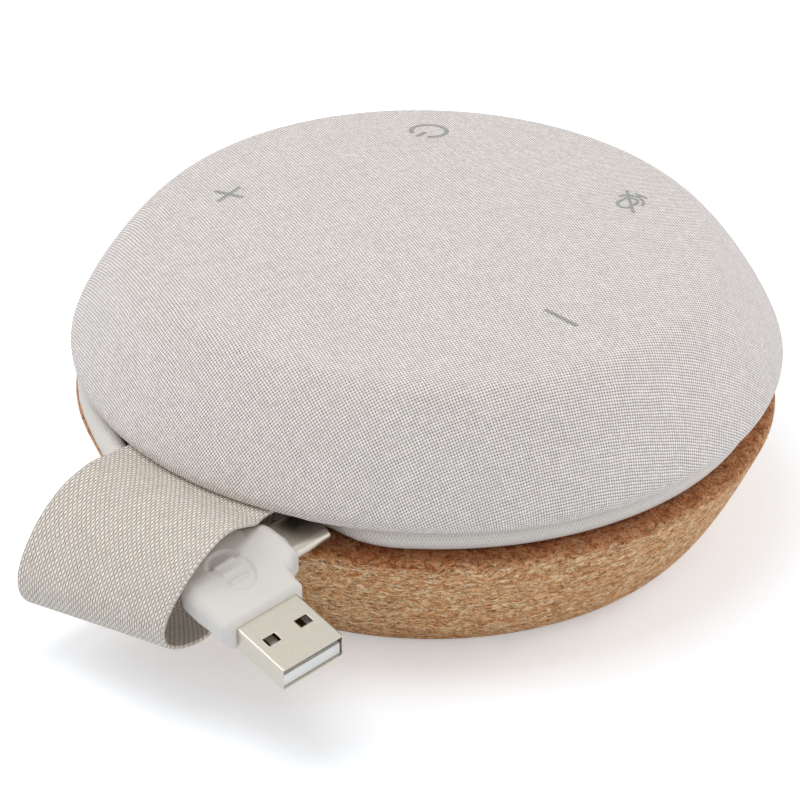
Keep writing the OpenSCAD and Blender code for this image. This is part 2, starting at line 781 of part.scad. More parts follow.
module cord_coil() {
    r_end = cord_d / 2;
    color([0.88, 0.86, 0.83])
        difference() {
            rotate_extrude($fn = fine)
                polygon(concat(
                    [for (a = [-90:15:90]) [coil_r - r_end + r_end * cos(a), cord_z + r_end * sin(a)]],
                    [for (a = [90:15:270]) [coil_in_r + r_end + r_end * cos(a), cord_z + r_end * sin(a)]]));
            // The turns give way where the USB-C shell reaches into the groove
            plug_frame()
                translate([arm_x - usb_c_w / 2 - 0.4, plug_w / 2, -6])
                    cube([usb_c_w + 0.8, arm_reach + usb_c_len - plug_w / 2 + 0.4, 12]);
        }
}

// The free end from the groove to the plug, as angle and reach beyond the groove's mouth
free_end = [[205.1, -1.8], [217.7, -0.4], [229.9, 0.5], [240.2, 1.3], [250.1, 3.2], [258.5, 6.5], [262.8, 8.5]];
cord_route = [for (p = free_end) [(mouth_r + p[1]) * cos(p[0]), (mouth_r + p[1]) * sin(p[0]), cord_z]];

function cross_unit(d) = let (s = cross(d, [0, 0, 1])) s / norm(s);

module tube(route, d, sides) {
    n = len(route);
    dirs = [for (i = [0:n - 1]) let (v = route[min(i + 1, n - 1)] - route[max(i - 1, 0)]) v / norm(v)];
    points = [for (i = [0:n - 1], k = [0:sides - 1])
        let (s = cross_unit(dirs[i]), u = cross(s, dirs[i]), a = 360 * k / sides)
        route[i] + d / 2 * (s * cos(a) + u * sin(a))];
    rings = [for (i = [0:n - 2], k = [0:sides - 1])
        [i * sides + k, i * sides + (k + 1) % sides, (i + 1) * sides + (k + 1) % sides, (i + 1) * sides + k]];
    polyhedron(points, concat([[for (k = [sides - 1:-1:0]) k]], rings, [[for (k = [0:sides - 1]) (n - 1) * sides + k]]),
        convexity = 4);
}

module cord_tail() {
    color([0.88, 0.86, 0.83])
        tube(concat(smooth(cord_route, 2), [in_plug([tail_x - 3, 0, 0]), in_plug([tail_x - fit, 0, 0])]), cord_d, 10);
}

// Plug: x runs to the USB-A mouth, y to the USB-C shell, and the origin is the middle of that mouth

plug_angle = -66.18;
plug_reach = 26.19;
plug_drop = 6.3;
plug_at = [(mouth_r + plug_reach) * cos(plug_angle), (mouth_r + plug_reach) * sin(plug_angle), cord_z - plug_drop];
plug_turn = [9, 9, -13.7];
arm_x = -usb_a_len - 12.3;
arm_reach = 12.3;
relief_len = 4;
tail_x = -usb_a_len - plug_len - relief_len;
// Thumb grip on the upper side
grip_at = [-usb_a_len - 9.7, 0.5];
grip_size = [9.4, 6.8];
grip_depth = 0.3;
// How much thinner the arm is where the strap presses on it
strap_pinch = 2;
// How far each shell reaches into the overmould, and its wall
shell_hold = 2.4;
usb_a_wall = 0.3;
usb_c_wall = 0.25;

module plug_frame() {
    translate(plug_at)
        rotate(plug_turn)
            children();
}
function turn_x(p, a) = [p[0], p[1] * cos(a) - p[2] * sin(a), p[1] * sin(a) + p[2] * cos(a)];
function turn_y(p, a) = [p[0] * cos(a) + p[2] * sin(a), p[1], p[2] * cos(a) - p[0] * sin(a)];
function turn_z(p, a) = [p[0] * cos(a) - p[1] * sin(a), p[0] * sin(a) + p[1] * cos(a), p[2]];
function in_plug(p) = plug_at + turn_z(turn_y(turn_x(p, plug_turn[0]), plug_turn[1]), plug_turn[2]);

// A thick disc with rounded edges, the corner piece of the overmould
module puck(x, y, r, h, edge) {
    translate([x, y, 0])
        rotate_extrude($fn = 32)
            intersection() {
                union() {
                    translate([0, -h / 2])
                        square([r - edge, h]);
                    translate([0, -h / 2 + edge])
                        square([r, h - 2 * edge]);
                    for (s = [-1, 1])
                        translate([r - edge, s * (h / 2 - edge)])
                            circle(r = edge, $fn = 24);
                }
                translate([0, -h])
                    square([r, 2 * h]);
            }
}

module plug_body() {
    edge = 2.2;
    corner = 2.6;
    front = -usb_a_len - corner;
    back = -usb_a_len - plug_len + corner;
    side = plug_w / 2 - corner;
    arm_side = arm_w / 2 - corner;
    color([0.85, 0.83, 0.80])
        plug_frame()
            difference() {
                union() {
                    hull() {
                        puck(front, side, corner, plug_h, edge);
                        puck(front, -side, corner, plug_h, edge);
                        puck(back + 8, -side, corner, plug_h, edge);
                        puck(back, -1.4, corner, plug_h - 1.4, edge);
                        puck(back, 2, corner, plug_h - 1.4, edge);
                        puck(arm_x - arm_side, side, corner, plug_h, edge);
                    }
                    hull() {
                        puck(arm_x + arm_side, 2, corner, plug_h, edge);
                        puck(arm_x - arm_side, 2, corner, plug_h, edge);
                        puck(arm_x + arm_side, arm_reach - corner - 1, corner, plug_h, edge);
                        puck(arm_x + arm_side / 2, arm_reach - corner - 0.25, corner, plug_h, edge);
                        puck(arm_x - arm_side / 2, arm_reach - corner - 0.25, corner, plug_h - strap_pinch / 2, edge);
                        puck(arm_x - arm_side + 0.6, arm_reach - corner - 1.2, corner, plug_h - strap_pinch, edge);
                    }
                    // Strain relief around the cord
                    translate([tail_x, 0, 0])
                        rotate([0, 90, 0])
                            cylinder(d1 = cord_d + 1, d2 = cord_d + 1.8, h = relief_len + 3, $fn = 32);
                }
                translate([-usb_a_len - shell_hold - fit, 0, 0])
                    rotate([90, 0, 90])
                        linear_extrude(shell_hold + usb_a_len)
                            rounded_rectangle(usb_a_w + 2 * fit, usb_a_h + 2 * fit, 0.5);
                translate([arm_x, arm_reach - shell_hold, 0])
                    rotate([-90, 0, 0])
                        linear_extrude(shell_hold + 2)
                            rounded_rectangle(usb_c_w + 2 * fit, usb_c_h + 2 * fit, usb_c_h / 2);
                // Shallow thumb grip with three raised bars
                translate([grip_at[0], grip_at[1], plug_h / 2 - grip_depth])
                    linear_extrude(1)
                        difference() {
                            rounded_rectangle(grip_size[0], grip_size[1], 0.48 * grip_size[1]);
                            for (x = [-2.1, 0, 2.1])
                                translate([x, 0])
                                    rounded_rectangle(0.9, 0.6 * grip_size[1], 0.4);
                        }
            }
}

usb_window = [1.9, 2.4];
usb_window_x = -6.3;
usb_window_y = 3.1;

module usb_a_shell() {
    color([0.80, 0.77, 0.72])
        plug_frame()
            difference() {
                translate([-usb_a_len - shell_hold, 0, 0])
                    rotate([90, 0, 90])
                        linear_extrude(usb_a_len + shell_hold)
                            difference() {
                                rounded_rectangle(usb_a_w, usb_a_h, 0.45);
                                rounded_rectangle(usb_a_w - 2 * usb_a_wall, usb_a_h - 2 * usb_a_wall, 0.2);
                            }
                // Latch windows in both broad faces
                for (y = [-usb_window_y, usb_window_y])
                    translate([usb_window_x, y, 0] - [usb_window[0], usb_window[1], 2 * usb_a_h] / 2)
                        cube([usb_window[0], usb_window[1], 2 * usb_a_h]);
            }
}

tongue_t = 2.3;
tongue_low = -usb_a_h / 2 + usb_a_wall + fit;
tongue_w = usb_a_w - 2 * usb_a_wall - 6 * fit;

module usb_a_tongue() {
    color("white")
        plug_frame()
            translate([-usb_a_len - shell_hold + 0.2, -tongue_w / 2, tongue_low])
                cube([usb_a_len + shell_hold - 0.7, tongue_w, tongue_t]);
}

module usb_a_contacts() {
    color([0.85, 0.68, 0.30])
        plug_frame()
            for (y = [-3.5, -1, 1, 3.5])
                translate([-usb_a_len + 1, y - 0.5, tongue_low + tongue_t])
                    cube([usb_a_len - 2.6, 1, 0.15]);
}

module usb_c_shell() {
    color([0.80, 0.77, 0.72])
        plug_frame()
            translate([arm_x, arm_reach - shell_hold + fit, 0])
                rotate([-90, 0, 0])
                    linear_extrude(shell_hold - fit + usb_c_len)
                        difference() {
                            rounded_rectangle(usb_c_w, usb_c_h, usb_c_h / 2 - eps);
                            rounded_rectangle(usb_c_w - 2 * usb_c_wall, usb_c_h - 2 * usb_c_wall,
                                usb_c_h / 2 - usb_c_wall - eps);
                        }
}

module usb_c_liner() {
    color([0.15, 0.15, 0.15])
        plug_frame()
            translate([arm_x, arm_reach - shell_hold + 2 * fit, 0])
                rotate([-90, 0, 0])
                    difference() {
                        linear_extrude(shell_hold + usb_c_len - 0.4)
                            rounded_rectangle(usb_c_w - 2 * usb_c_wall - 0.1, usb_c_h - 2 * usb_c_wall - 0.1,
                                usb_c_h / 2 - usb_c_wall - 0.06);
                        translate([0, 0, 2])
                            linear_extrude(shell_hold + usb_c_len)
                                square([6.6, 0.8], center = true);
                    }
}

cloth_cover();
head_shell();
key_power();
key_mute();
key_plus();
key_minus();
key_board();
push_switches();
microphones();
board_screws();
driver_gasket();
driver_basket();
driver_top_plate();
driver_magnet();
driver_yoke();
voice_coil();
speaker_cone();
dust_cap();
cone_surround();
cone_spider();
driver_screws();
cord_spool();
cord_gland();
head_screws();
cork_base();
base_pan();
main_board();
board_parts();
base_screws();
rubber_foot();
strap();
cord_coil();
cord_tail();
plug_body();
usb_a_shell();
usb_a_tongue();
usb_a_contacts();
usb_c_shell();
usb_c_liner();
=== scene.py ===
# %% [markdown]
# # A conference speaker with a cloth head, a cork base and a cord wound between them
#
# The CAD model gives the frame and every hard piece in metres. This lesson dresses it: it
# makes the camera and the cord first, then the soft pieces, then a finish for each material.

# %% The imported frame
import math
import bmesh
import bpy
from mathutils import Matrix, Vector


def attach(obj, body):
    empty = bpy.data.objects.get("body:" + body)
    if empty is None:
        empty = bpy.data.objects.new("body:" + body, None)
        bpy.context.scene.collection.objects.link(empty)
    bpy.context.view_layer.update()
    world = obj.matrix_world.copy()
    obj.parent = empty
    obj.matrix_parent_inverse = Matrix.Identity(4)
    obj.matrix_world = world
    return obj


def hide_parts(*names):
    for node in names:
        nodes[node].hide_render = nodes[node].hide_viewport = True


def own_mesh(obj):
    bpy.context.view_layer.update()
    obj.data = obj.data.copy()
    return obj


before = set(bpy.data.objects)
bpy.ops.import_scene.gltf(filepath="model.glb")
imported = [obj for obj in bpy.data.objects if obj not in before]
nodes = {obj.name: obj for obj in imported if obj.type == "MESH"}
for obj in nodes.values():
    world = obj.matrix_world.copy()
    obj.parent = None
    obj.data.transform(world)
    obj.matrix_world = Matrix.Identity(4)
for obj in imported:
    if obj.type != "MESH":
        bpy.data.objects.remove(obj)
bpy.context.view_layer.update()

# %% [markdown]
# ## Sizes that the soft pieces share with the CAD model
#
# The levels and radii below are the ones that the model was drawn with, in metres. The soft
# pieces are made from them, so they sit on the hard pieces with no fitting.

# %% Shared sizes
MM = 0.001
HEAD_R, UNDER_Z, TOP_Z = 60 * MM, 28.5 * MM, 53.9 * MM
CROWN_R, CROWN_DROP = 46.7 * MM, 4.2 * MM
WIDE_Z, EDGE_ROUND, HEM_R = 31.5 * MM, 3.4 * MM, 53 * MM
CORD_D, CORD_Z = 4.2 * MM, 26.1 * MM
STRAP_ANGLE, STRAP_SHIFT = math.radians(263), 3 * MM
STRAP_W, STRAP_T, STRAP_RECESS = 30.5 * MM, 0.9 * MM, 1.2 * MM
MOUTH_R = 57 * MM


def polar(angle, r, z=0.0):
    """A point at an angle in degrees and a radius."""
    a = math.radians(angle)
    return Vector((r * math.cos(a), r * math.sin(a), z))


print("head in mm:", 2000 * HEAD_R, "across,", round(1000 * (TOP_Z - UNDER_Z), 1), "high")

# %% [markdown]
# ## Helpers for materials
#
# Colours are picked as sRGB hex values, because that is how they are read off a sample, and
# turned to linear ones for the shader. One function adds a node with its settings and its
# links, so that a recipe reads as a list of steps. It serves shaders and Geometry Nodes alike.
# The scale of a pattern is worked out from the real size of what it draws.

# %% Colours and nodes
MATH, VECTOR, NOISE, CELLS, RAMP = ("ShaderNodeMath", "ShaderNodeVectorMath", "ShaderNodeTexNoise",
                                    "ShaderNodeTexVoronoi", "ShaderNodeValToRGB")


def tint(code):
    """A hex colour as the linear RGBA that a shader wants."""
    parts = [int(code[i:i + 2], 16) / 255 for i in (1, 3, 5)]
    return (*[c / 12.92 if c <= 0.04045 else ((c + 0.055) / 1.055) ** 2.4 for c in parts], 1.0)


def scale_for(size):
    """The scale of a noise or of cells that are so many millimetres across, to the nearest ten."""
    return 10 * round(100 / size)


def add(tree, kind, inputs=(), stops=(), **settings):
    """Adds a node. Each input is a value, or a node or output to link; stops are a ramp's colours."""
    n = tree.nodes.new(kind)
    for name, value in settings.items():
        setattr(n, name, value)
    for key, value in inputs.items() if isinstance(inputs, dict) else enumerate(inputs):
        source = value.outputs[0] if isinstance(value, bpy.types.Node) else value
        if isinstance(source, bpy.types.NodeSocket):
            tree.links.new(source, n.inputs[key])
        else:
            n.inputs[key].default_value = source
    for i, (position, code) in enumerate(stops):
        element = n.color_ramp.elements[i] if i < 2 else n.color_ramp.elements.new(position)
        element.position, element.color = position, tint(code)
    return n


def new_material(name, **values):
    """A material with its shader, whose plain values are given by name."""
    m = bpy.data.materials.new(name)
    m.use_nodes = True
    shader = m.node_tree.nodes["Principled BSDF"]
    for key, value in values.items():
        shader.inputs[key.replace("_", " ")].default_value = value
    return m, m.node_tree, shader


def finish_with(tree, shader, colour, height, depth, strength=1.0):
    """Links a colour and a relief of so many metres to the shader."""
    tree.links.new(colour, shader.inputs["Base Color"])
    relief = add(tree, "ShaderNodeBump", {"Height": height, "Strength": strength, "Distance": depth})
    tree.links.new(relief.outputs[0], shader.inputs["Normal"])


def dress(obj, material):
    """Gives a piece one material."""
    obj.data.materials.clear()
    obj.data.materials.append(material)
    for p in obj.data.polygons:
        p.material_index = 0


print("middle grey in linear light:", round(tint("#808080")[0], 3))

# %% [markdown]
# ## Helpers for meshes
#
# Most soft pieces here are grids of points: rows that follow a line and columns that go round
# or across it. Each carries a UV map, named "lay", of true distances in metres, and round the
# cord of shares of a turn, so that a weave has its true size wherever the surface turns. Cloth
# gets its thickness from a live modifier. A piece that is made by others becomes a plain mesh.

# %% Mesh helpers
def mesh_piece(name, points, faces, edges=()):
    """A new object from points and faces, with its place in its mesh."""
    mesh = bpy.data.meshes.new(name)
    mesh.from_pydata([tuple(p) for p in points], edges, faces)
    mesh.update()
    mesh.shade_smooth()
    obj = bpy.data.objects.new(name, mesh)
    bpy.context.scene.collection.objects.link(obj)
    return obj


def grid_faces(rows, columns, start=0, closed=True):
    """Faces between rows of points that lie one after another. A closed row is a ring."""
    return [(a + k, a + columns + k, a + columns + (k + 1) % columns, a + (k + 1) % columns)
            for a in range(start, start + (rows - 1) * columns, columns)
            for k in range(columns if closed else columns - 1)]


def write_uv(obj, uv_of):
    """A UV map from one function of a face's corner: the point's number and the face."""
    layer = obj.data.uv_layers.new(name="lay")
    for face in obj.data.polygons:
        for loop in face.loop_indices:
            layer.data[loop].uv = uv_of(obj.data.loops[loop].vertex_index, face)


def make_plain(obj):
    """Turns what the modifiers show into the object's own mesh and removes them."""
    seen = obj.evaluated_get(bpy.context.evaluated_depsgraph_get())
    mesh = bpy.data.meshes.new_from_object(seen)
    obj.modifiers.clear()
    obj.data = mesh
    return obj


# %% Smooth lines
def through(points, i, t):
    """A point of the smooth line through points, between number i and the next."""
    a, b = points[max(i - 1, 0)], points[i]
    c, d = points[i + 1], points[min(i + 2, len(points) - 1)]
    bend, twist = 2 * a - 5 * b + 4 * c - d, 3 * b - a - 3 * c + d
    return b + t * (c - a) / 2 + t * t * bend / 2 + t ** 3 * twist / 2


def smooth_line(points, steps):
    """The smooth line through points, with so many steps between two of them."""
    points = [Vector(p) for p in points]
    line = [through(points, i, k / steps) for i in range(len(points) - 1) for k in range(steps)]
    return line + [points[-1]]


def line_length(points):
    """The length of the straight pieces between points."""
    return sum((b - a).length for a, b in zip(points, points[1:]))


print("a smooth line through 3 points:", len(smooth_line([(0, 0), (1, 1), (2, 0)], 4)), "points")

# %% [markdown]
# ## Camera
#
# The photograph looks down on the speaker at about 30 degrees, from 35 degrees to the right of
# the strap, with a long lens and a slight roll. A long lens keeps the round head free of
# distortion. The shift of the lens, not a turn of the camera, places the speaker in the frame.

# %% The photograph's camera
AZIMUTH, ELEVATION, ROLL = math.radians(35), math.radians(30.2), math.radians(1.5)
DISTANCE, FOCAL_PX, FRAME_PX, SENSOR = 0.7, 4141, 800, 36
SHIFT_PX = (-27.1, -61)
AIM = Vector((0, 0, 0.0303))
back = Vector((math.sin(AZIMUTH) * math.cos(ELEVATION), -math.cos(AZIMUTH) * math.cos(ELEVATION),
               math.sin(ELEVATION)))
level = Vector((math.cos(AZIMUTH), math.sin(AZIMUTH), 0))
upright = back.cross(level)
right = level * math.cos(ROLL) + upright * math.sin(ROLL)
lens = bpy.data.cameras.new("camera")
lens.sensor_width = SENSOR
lens.lens = SENSOR * FOCAL_PX / FRAME_PX
lens.shift_x, lens.shift_y = SHIFT_PX[0] / FRAME_PX, SHIFT_PX[1] / FRAME_PX
lens.clip_start, lens.clip_end = 0.05, 20
camera = bpy.data.objects.new("camera", lens)
camera.matrix_world = Matrix.Translation(AIM + back * DISTANCE) @ Matrix(
    (right, back.cross(right), back)).transposed().to_4x4()
bpy.context.scene.collection.objects.link(camera)
bpy.context.scene.camera = camera
print("lens in mm:", round(lens.lens, 1))

# %% [markdown]
# ## The route of the cord
#
# The cord comes out of the spool, winds outwards round it in the groove, and leaves the groove
# beside the strap to end in its plug. Its turns give way where the small plug reaches in. The
# route is a list of angles and radii, and the free end repeats the points of the CAD model.

# %% The plug's place
PLUG_AT = Vector((33.5975, -76.1038, 19.8)) * MM
PLUG_TURN = Matrix.Rotation(math.radians(-13.7), 3, "Z") @ Matrix.Rotation(math.radians(9), 3, "Y") \
    @ Matrix.Rotation(math.radians(9), 3, "X")
TAIL_X = -36.2


def in_plug(x, y=0.0, z=0.0):
    """A place in the plug's own frame, in millimetres, as a point of the part."""
    return PLUG_AT + PLUG_TURN @ (Vector((x, y, z)) * MM)


print("cord's end in mm:", [round(1000 * v, 1) for v in in_plug(TAIL_X)])

# %% Cord route
# Angles in degrees with radii in millimetres. The last two points lie on the plug's own axis.
WINDING = [(120, 46.3), (290, 46.3), (350, 48.4), (395, 49), (440, 50.1), (480, 50.6), (620, 50.6),
           (640, 50.4), (644, 50.4), (660, 54.7), (880, 54.8), (905, 54.9)]
FREE_END = [(205.1, 55.2), (217.7, 56.6), (229.9, 57.5), (240.2, 58.3), (250.1, 60.2), (258.5, 63.5),
            (262.8, 65.5)]
ROUTE_STEP, LEAD_IN, END_GAP = 5, 3, 0.05


def winding_radius(angle):
    """The radius of the winding at an angle, eased by even bends between the listed ones."""
    for (a0, r0), (a1, r1) in zip(WINDING, WINDING[1:]):
        if angle <= a1:
            t = (angle - a0) / (a1 - a0)
            bend = 2 * t * t if t < 0.5 else 1 - 2 * (1 - t) ** 2
            return (r0 + (r1 - r0) * bend) * MM
    return WINDING[-1][1] * MM


wound = range(WINDING[0][0], WINDING[-1][0] + 1, ROUTE_STEP)
route = [polar(a, winding_radius(a), CORD_Z) for a in wound]
route += [polar(a, r * MM, CORD_Z) for a, r in FREE_END]
route += [in_plug(TAIL_X - LEAD_IN), in_plug(TAIL_X - END_GAP)]
route = smooth_line(route, 2)
cord_length = line_length(route)
print("cord length in mm:", round(1000 * cord_length), "points:", len(route))

# %% [markdown]
# ## The cord's body
#
# A tube is swept along the route: a ring of points at each place, turned square to the line.
# Its UV map holds the distance along the cord and the angle round it, which the braid needs.

# %% Cord tube
CORD_SIDES = 24


def sweep(name, line, radius, sides):
    """A closed tube along a line, with its distance along and its angle round as UV."""
    spokes = [(math.cos(2 * math.pi * k / sides), math.sin(2 * math.pi * k / sides)) for k in range(sides)]
    points, runs, run = [], [], 0.0
    for i, p in enumerate(line):
        ahead = (line[min(i + 1, len(line) - 1)] - line[max(i - 1, 0)]).normalized()
        across = ahead.cross(Vector((0, 0, 1))).normalized()
        up = across.cross(ahead)
        run += (p - line[max(i - 1, 0)]).length
        runs.append(run)
        points += [p + radius * (across * x + up * y) for x, y in spokes]
    faces = [(a, d, c, b) for a, b, c, d in grid_faces(len(line), sides)]
    last = (len(line) - 1) * sides
    faces += [tuple(range(sides))[::-1], tuple(range(last, last + sides))]
    obj = mesh_piece(name, points, faces)

    def uv_of(number, face):
        row, k = divmod(number, sides)
        wraps = k == 0 and any(v % sides == sides - 1 for v in face.vertices)
        return runs[row], (sides if wraps else k) / sides
    write_uv(obj, uv_of)
    return obj


cord = sweep("braided_cord", route, CORD_D / 2, CORD_SIDES)
print("cord faces:", len(cord.data.polygons))

# %% [markdown]
# ## The strap
#
# The strap is one length of webbing, folded into a loop whose two ends are held in the groove.
# Its two edges don't run side by side: the plug lifts the near one. So each edge is a line of
# its own, given in millimetres as reach beyond the groove's mouth, height above the cord and
# slant, and the cloth is spanned between them.

# %% Strap edges
HIGH, LOW, ENDS = 3.0, -3.0, -15.6
NEAR_EDGE = [(ENDS, HIGH, 0), (-6, HIGH, 0), (0, HIGH, 0), (2.8, HIGH, 0.6), (5.8, 4.2, 1.2),
             (9.2, 5.4, 1.8), (13.2, 5.3, 2.4), (17, 3.6, 2.6), (20.4, 0.8, 2.5), (22.7, -2.9, 1.9),
             (23.6, -7.2, 1), (22.3, -10.8, 0.4), (18.8, -13, 0), (14.4, -13.7, 0), (10, -13.3, -0.8),
             (6, -11, -1.8), (4, -7.6, -2.6), (3.5, -5.5, -3.2), (3.1, -4, -3.2), (2.5, -3.1, -3.2),
             (0.6, LOW, -3.2), (-7, LOW, -2), (ENDS, LOW, 0)]
FAR_EDGE = [(ENDS, HIGH, 0), (-6, HIGH, 0), (0, HIGH, 0), (2.7, HIGH, 0), (5, 3.1, 0), (8, 3.4, 0),
            (11.6, 3, 0), (16.2, 1.3, 0), (20.6, -2.1, 0), (24, -6.7, 0), (25.4, -10.7, 0),
            (24.8, -14.5, 0), (22, -17.1, 0), (17, -17.9, 0), (12, -17.1, 0), (7.4, -13.7, 0),
            (4.6, -9.1, 0), (3.6, -5.7, 0), (3.1, -4, 0), (2.5, -3.1, 0), (0.6, LOW, 0), (-7, LOW, 0),
            (ENDS, LOW, 0)]


def strap_point(edge_point, side):
    """A point of an edge in the part's frame."""
    reach, height, slant = edge_point
    out = Vector((math.cos(STRAP_ANGLE), math.sin(STRAP_ANGLE), 0))
    along = Vector((-out.y, out.x, 0))
    return out * (MOUTH_R + reach * MM) + along * (STRAP_SHIFT + side * STRAP_W / 2 + slant * MM) \
        + Vector((0, 0, CORD_Z + height * MM))


near_line = [strap_point(p, 1) for p in smooth_line(NEAR_EDGE, 8)]
far_line = [strap_point(p, -1) for p in smooth_line(FAR_EDGE, 8)]
strap_length = (line_length(near_line) + line_length(far_line)) / 2
print("strap length in mm:", round(1000 * strap_length, 1))

# %% Strap cloth
# Between its selvages the webbing is a little thinner than they are
ACROSS, WEBBING_T, EDGE_BEVEL = 40, 0.75 * STRAP_T, 0.2 * MM
strap_runs = [0.0]
for i in range(1, len(near_line)):
    middle = (near_line[i] + far_line[i] - near_line[i - 1] - far_line[i - 1]).length / 2
    strap_runs.append(strap_runs[-1] + middle)
rows = [[far.lerp(near, k / ACROSS) for k in range(ACROSS + 1)] for near, far in zip(near_line, far_line)]
strap = mesh_piece("strap_webbing", [p for row in rows for p in row],
                   grid_faces(len(rows), ACROSS + 1, closed=False))


def strap_uv(number, face):
    """Distance along the strap and across it."""
    row, k = divmod(number, ACROSS + 1)
    return strap_runs[row], k / ACROSS * STRAP_W


write_uv(strap, strap_uv)
wall = strap.modifiers.new("thickness", "SOLIDIFY")
wall.thickness, wall.offset = WEBBING_T, 0
edge = strap.modifiers.new("rounded edge", "BEVEL")
edge.width, edge.segments, edge.limit_method = EDGE_BEVEL, 2, "ANGLE"
print("strap faces:", len(strap.data.polygons))

# %% [markdown]
# ## The strap's selvage
#
# Where the weft turns back, the webbing's edge is a row of small slanting loops. They follow the
# edge, so Geometry Nodes make them: the edge line is cut into steps of one loop, and a rounded
# bead is laid on each step, turned with the line and the cloth, with a slant.

# %% Selvage nodes
def selvage_tree():
    """Geometry Nodes that lay slanting loops along a line of edges."""
    tree = bpy.data.node_groups.new("selvage loops", "GeometryNodeTree")
    tree.interface.new_socket("Geometry", in_out="INPUT", socket_type="NodeSocketGeometry")
    for name, kind in (("Pitch", "Float"), ("Length", "Float"), ("Width", "Float"), ("Slant", "Float"),
                       ("Finish", "Material")):
        tree.interface.new_socket(name, in_out="INPUT", socket_type="NodeSocket" + kind)
    tree.interface.new_socket("Geometry", in_out="OUTPUT", socket_type="NodeSocketGeometry")
    given = add(tree, "NodeGroupInput").outputs
    line = add(tree, "GeometryNodeMeshToCurve", {"Mesh": given["Geometry"]})
    steps = add(tree, "GeometryNodeResampleCurve", {"Curve": line, "Length": given["Pitch"]}, mode="LENGTH")
    ball = add(tree, "GeometryNodeMeshUVSphere", {"Segments": 8, "Rings": 6, "Radius": 0.5})
    shape = add(tree, "ShaderNodeCombineXYZ",
                {"X": given["Length"], "Y": given["Width"], "Z": given["Width"]})
    bead = add(tree, "GeometryNodeTransform", {"Geometry": ball, "Scale": shape})
    across = add(tree, "GeometryNodeInputNamedAttribute", {"Name": "across"}, data_type="FLOAT_VECTOR")
    ahead = add(tree, "GeometryNodeInputTangent")
    lie = add(tree, "FunctionNodeAxesToRotation", {"Primary Axis": ahead, "Secondary Axis": across},
              primary_axis="X", secondary_axis="Y")
    lean = add(tree, "FunctionNodeAxisAngleToRotation", {"Axis": (0, 0, 1), "Angle": given["Slant"]})
    turned = add(tree, "FunctionNodeRotateRotation", {"Rotation": lie, "Rotate By": lean},
                 rotation_space="LOCAL")
    uneven = add(tree, "FunctionNodeRandomValue",
                 {"Min": (0.9, 0.9, 0.9), "Max": (1.1, 1.1, 1.1), "Seed": 7}, data_type="FLOAT_VECTOR")
    laid = add(tree, "GeometryNodeInstanceOnPoints",
               {"Points": steps, "Instance": bead, "Rotation": turned, "Scale": uneven})
    real = add(tree, "GeometryNodeRealizeInstances", {"Geometry": laid})
    done = add(tree, "GeometryNodeSetMaterial", {"Geometry": real, "Material": given["Finish"]})
    add(tree, "NodeGroupOutput", {"Geometry": done})
    return tree


def set_inputs(modifier, **values):
    """Sets a modifier's inputs by the identifier of the socket with each name."""
    for item in modifier.node_group.interface.items_tree:
        if item.in_out == "INPUT" and item.name in values:
            modifier[item.identifier] = values[item.name]


loops_tree = selvage_tree()
print("selvage nodes:", len(loops_tree.nodes))

# %% [markdown]
# The yarn of the loops is the webbing's own: polyester, spun to a soft matt thread. Its fibres
# are finer than a pixel, so a mottle of 0.3 mm, coarser than they are, stands for them. The line
# of the loops lies just inside the webbing's edge, so that they hide it.

# %% Selvage loops
def yarn_finish(name, dark, light):
    """Spun yarn: dull, with a soft sheen."""
    m, tree, shader = new_material(name, Roughness=0.85, Sheen_Weight=0.2, Sheen_Roughness=0.5)
    place = add(tree, "ShaderNodeTexCoord").outputs["Object"]
    fibre = add(tree, NOISE, {"Vector": place, "Scale": scale_for(0.3125), "Detail": 3})
    colour = add(tree, RAMP, {0: fibre}, stops=((0.35, dark), (0.65, light)))
    finish_with(tree, shader, colour.outputs[0], fibre.outputs[0], 0.05 * MM, 0.6)
    return m


yarn = yarn_finish("spun polyester yarn", "#B8AC9C", "#DED5C9")
LOOP_INSET = 0.32
crosswise = [(near - far).normalized() for near, far in zip(near_line, far_line)]
edge_points, edge_joins, edge_across = [], [], []
for line, way in ((near_line, -1), (far_line, 1)):
    start = len(edge_points)
    edge_points += [p + way * s * LOOP_INSET * MM for p, s in zip(line, crosswise)]
    edge_across += crosswise
    edge_joins += [(start + i, start + i + 1) for i in range(len(line) - 1)]
selvage = mesh_piece("strap_selvage", edge_points, [], edge_joins)
stored = selvage.data.attributes.new("across", "FLOAT_VECTOR", "POINT")
stored.data.foreach_set("vector", [c for v in edge_across for c in v])
rows_of_loops = selvage.modifiers.new("loops", "NODES")
rows_of_loops.node_group = loops_tree
set_inputs(rows_of_loops, Pitch=0.52 * MM, Length=0.95 * MM, Width=0.72 * MM, Slant=math.radians(38),
           Finish=yarn)
make_plain(selvage)
selvage.data.shade_smooth()
print("selvage faces:", len(selvage.data.polygons))

# %% [markdown]
# ## The head's cloth
#
# One round piece of cloth is stretched over the moulded shell: a shallow crown, a sloping
# shoulder, a tight turn at the widest line, and the underside, where it is drawn in to its hem.
# The same outline as the CAD model's is turned round the axis in fine steps. The UV map lays
# the cloth out flat by its true distance from the middle, so the threads run straight over the
# crown and lean where the cloth is drawn down the side.

# %% Outline of the head
CROWN_STEPS, SHOULDER_STEPS, UNDER_STEPS = 40, 28, 3
SHOULDER_LEAVES, SHOULDER_ARRIVES = 4.4 * MM, 2.2 * MM


def cubic(p, t):
    """A point of the Bezier curve with four control points."""
    return (1 - t) ** 3 * p[0] + 3 * (1 - t) ** 2 * t * p[1] + 3 * (1 - t) * t * t * p[2] + t ** 3 * p[3]


def crown_z(r):
    """Height of the crown's outside at a radius."""
    return TOP_Z - CROWN_DROP * (r / CROWN_R) ** 2


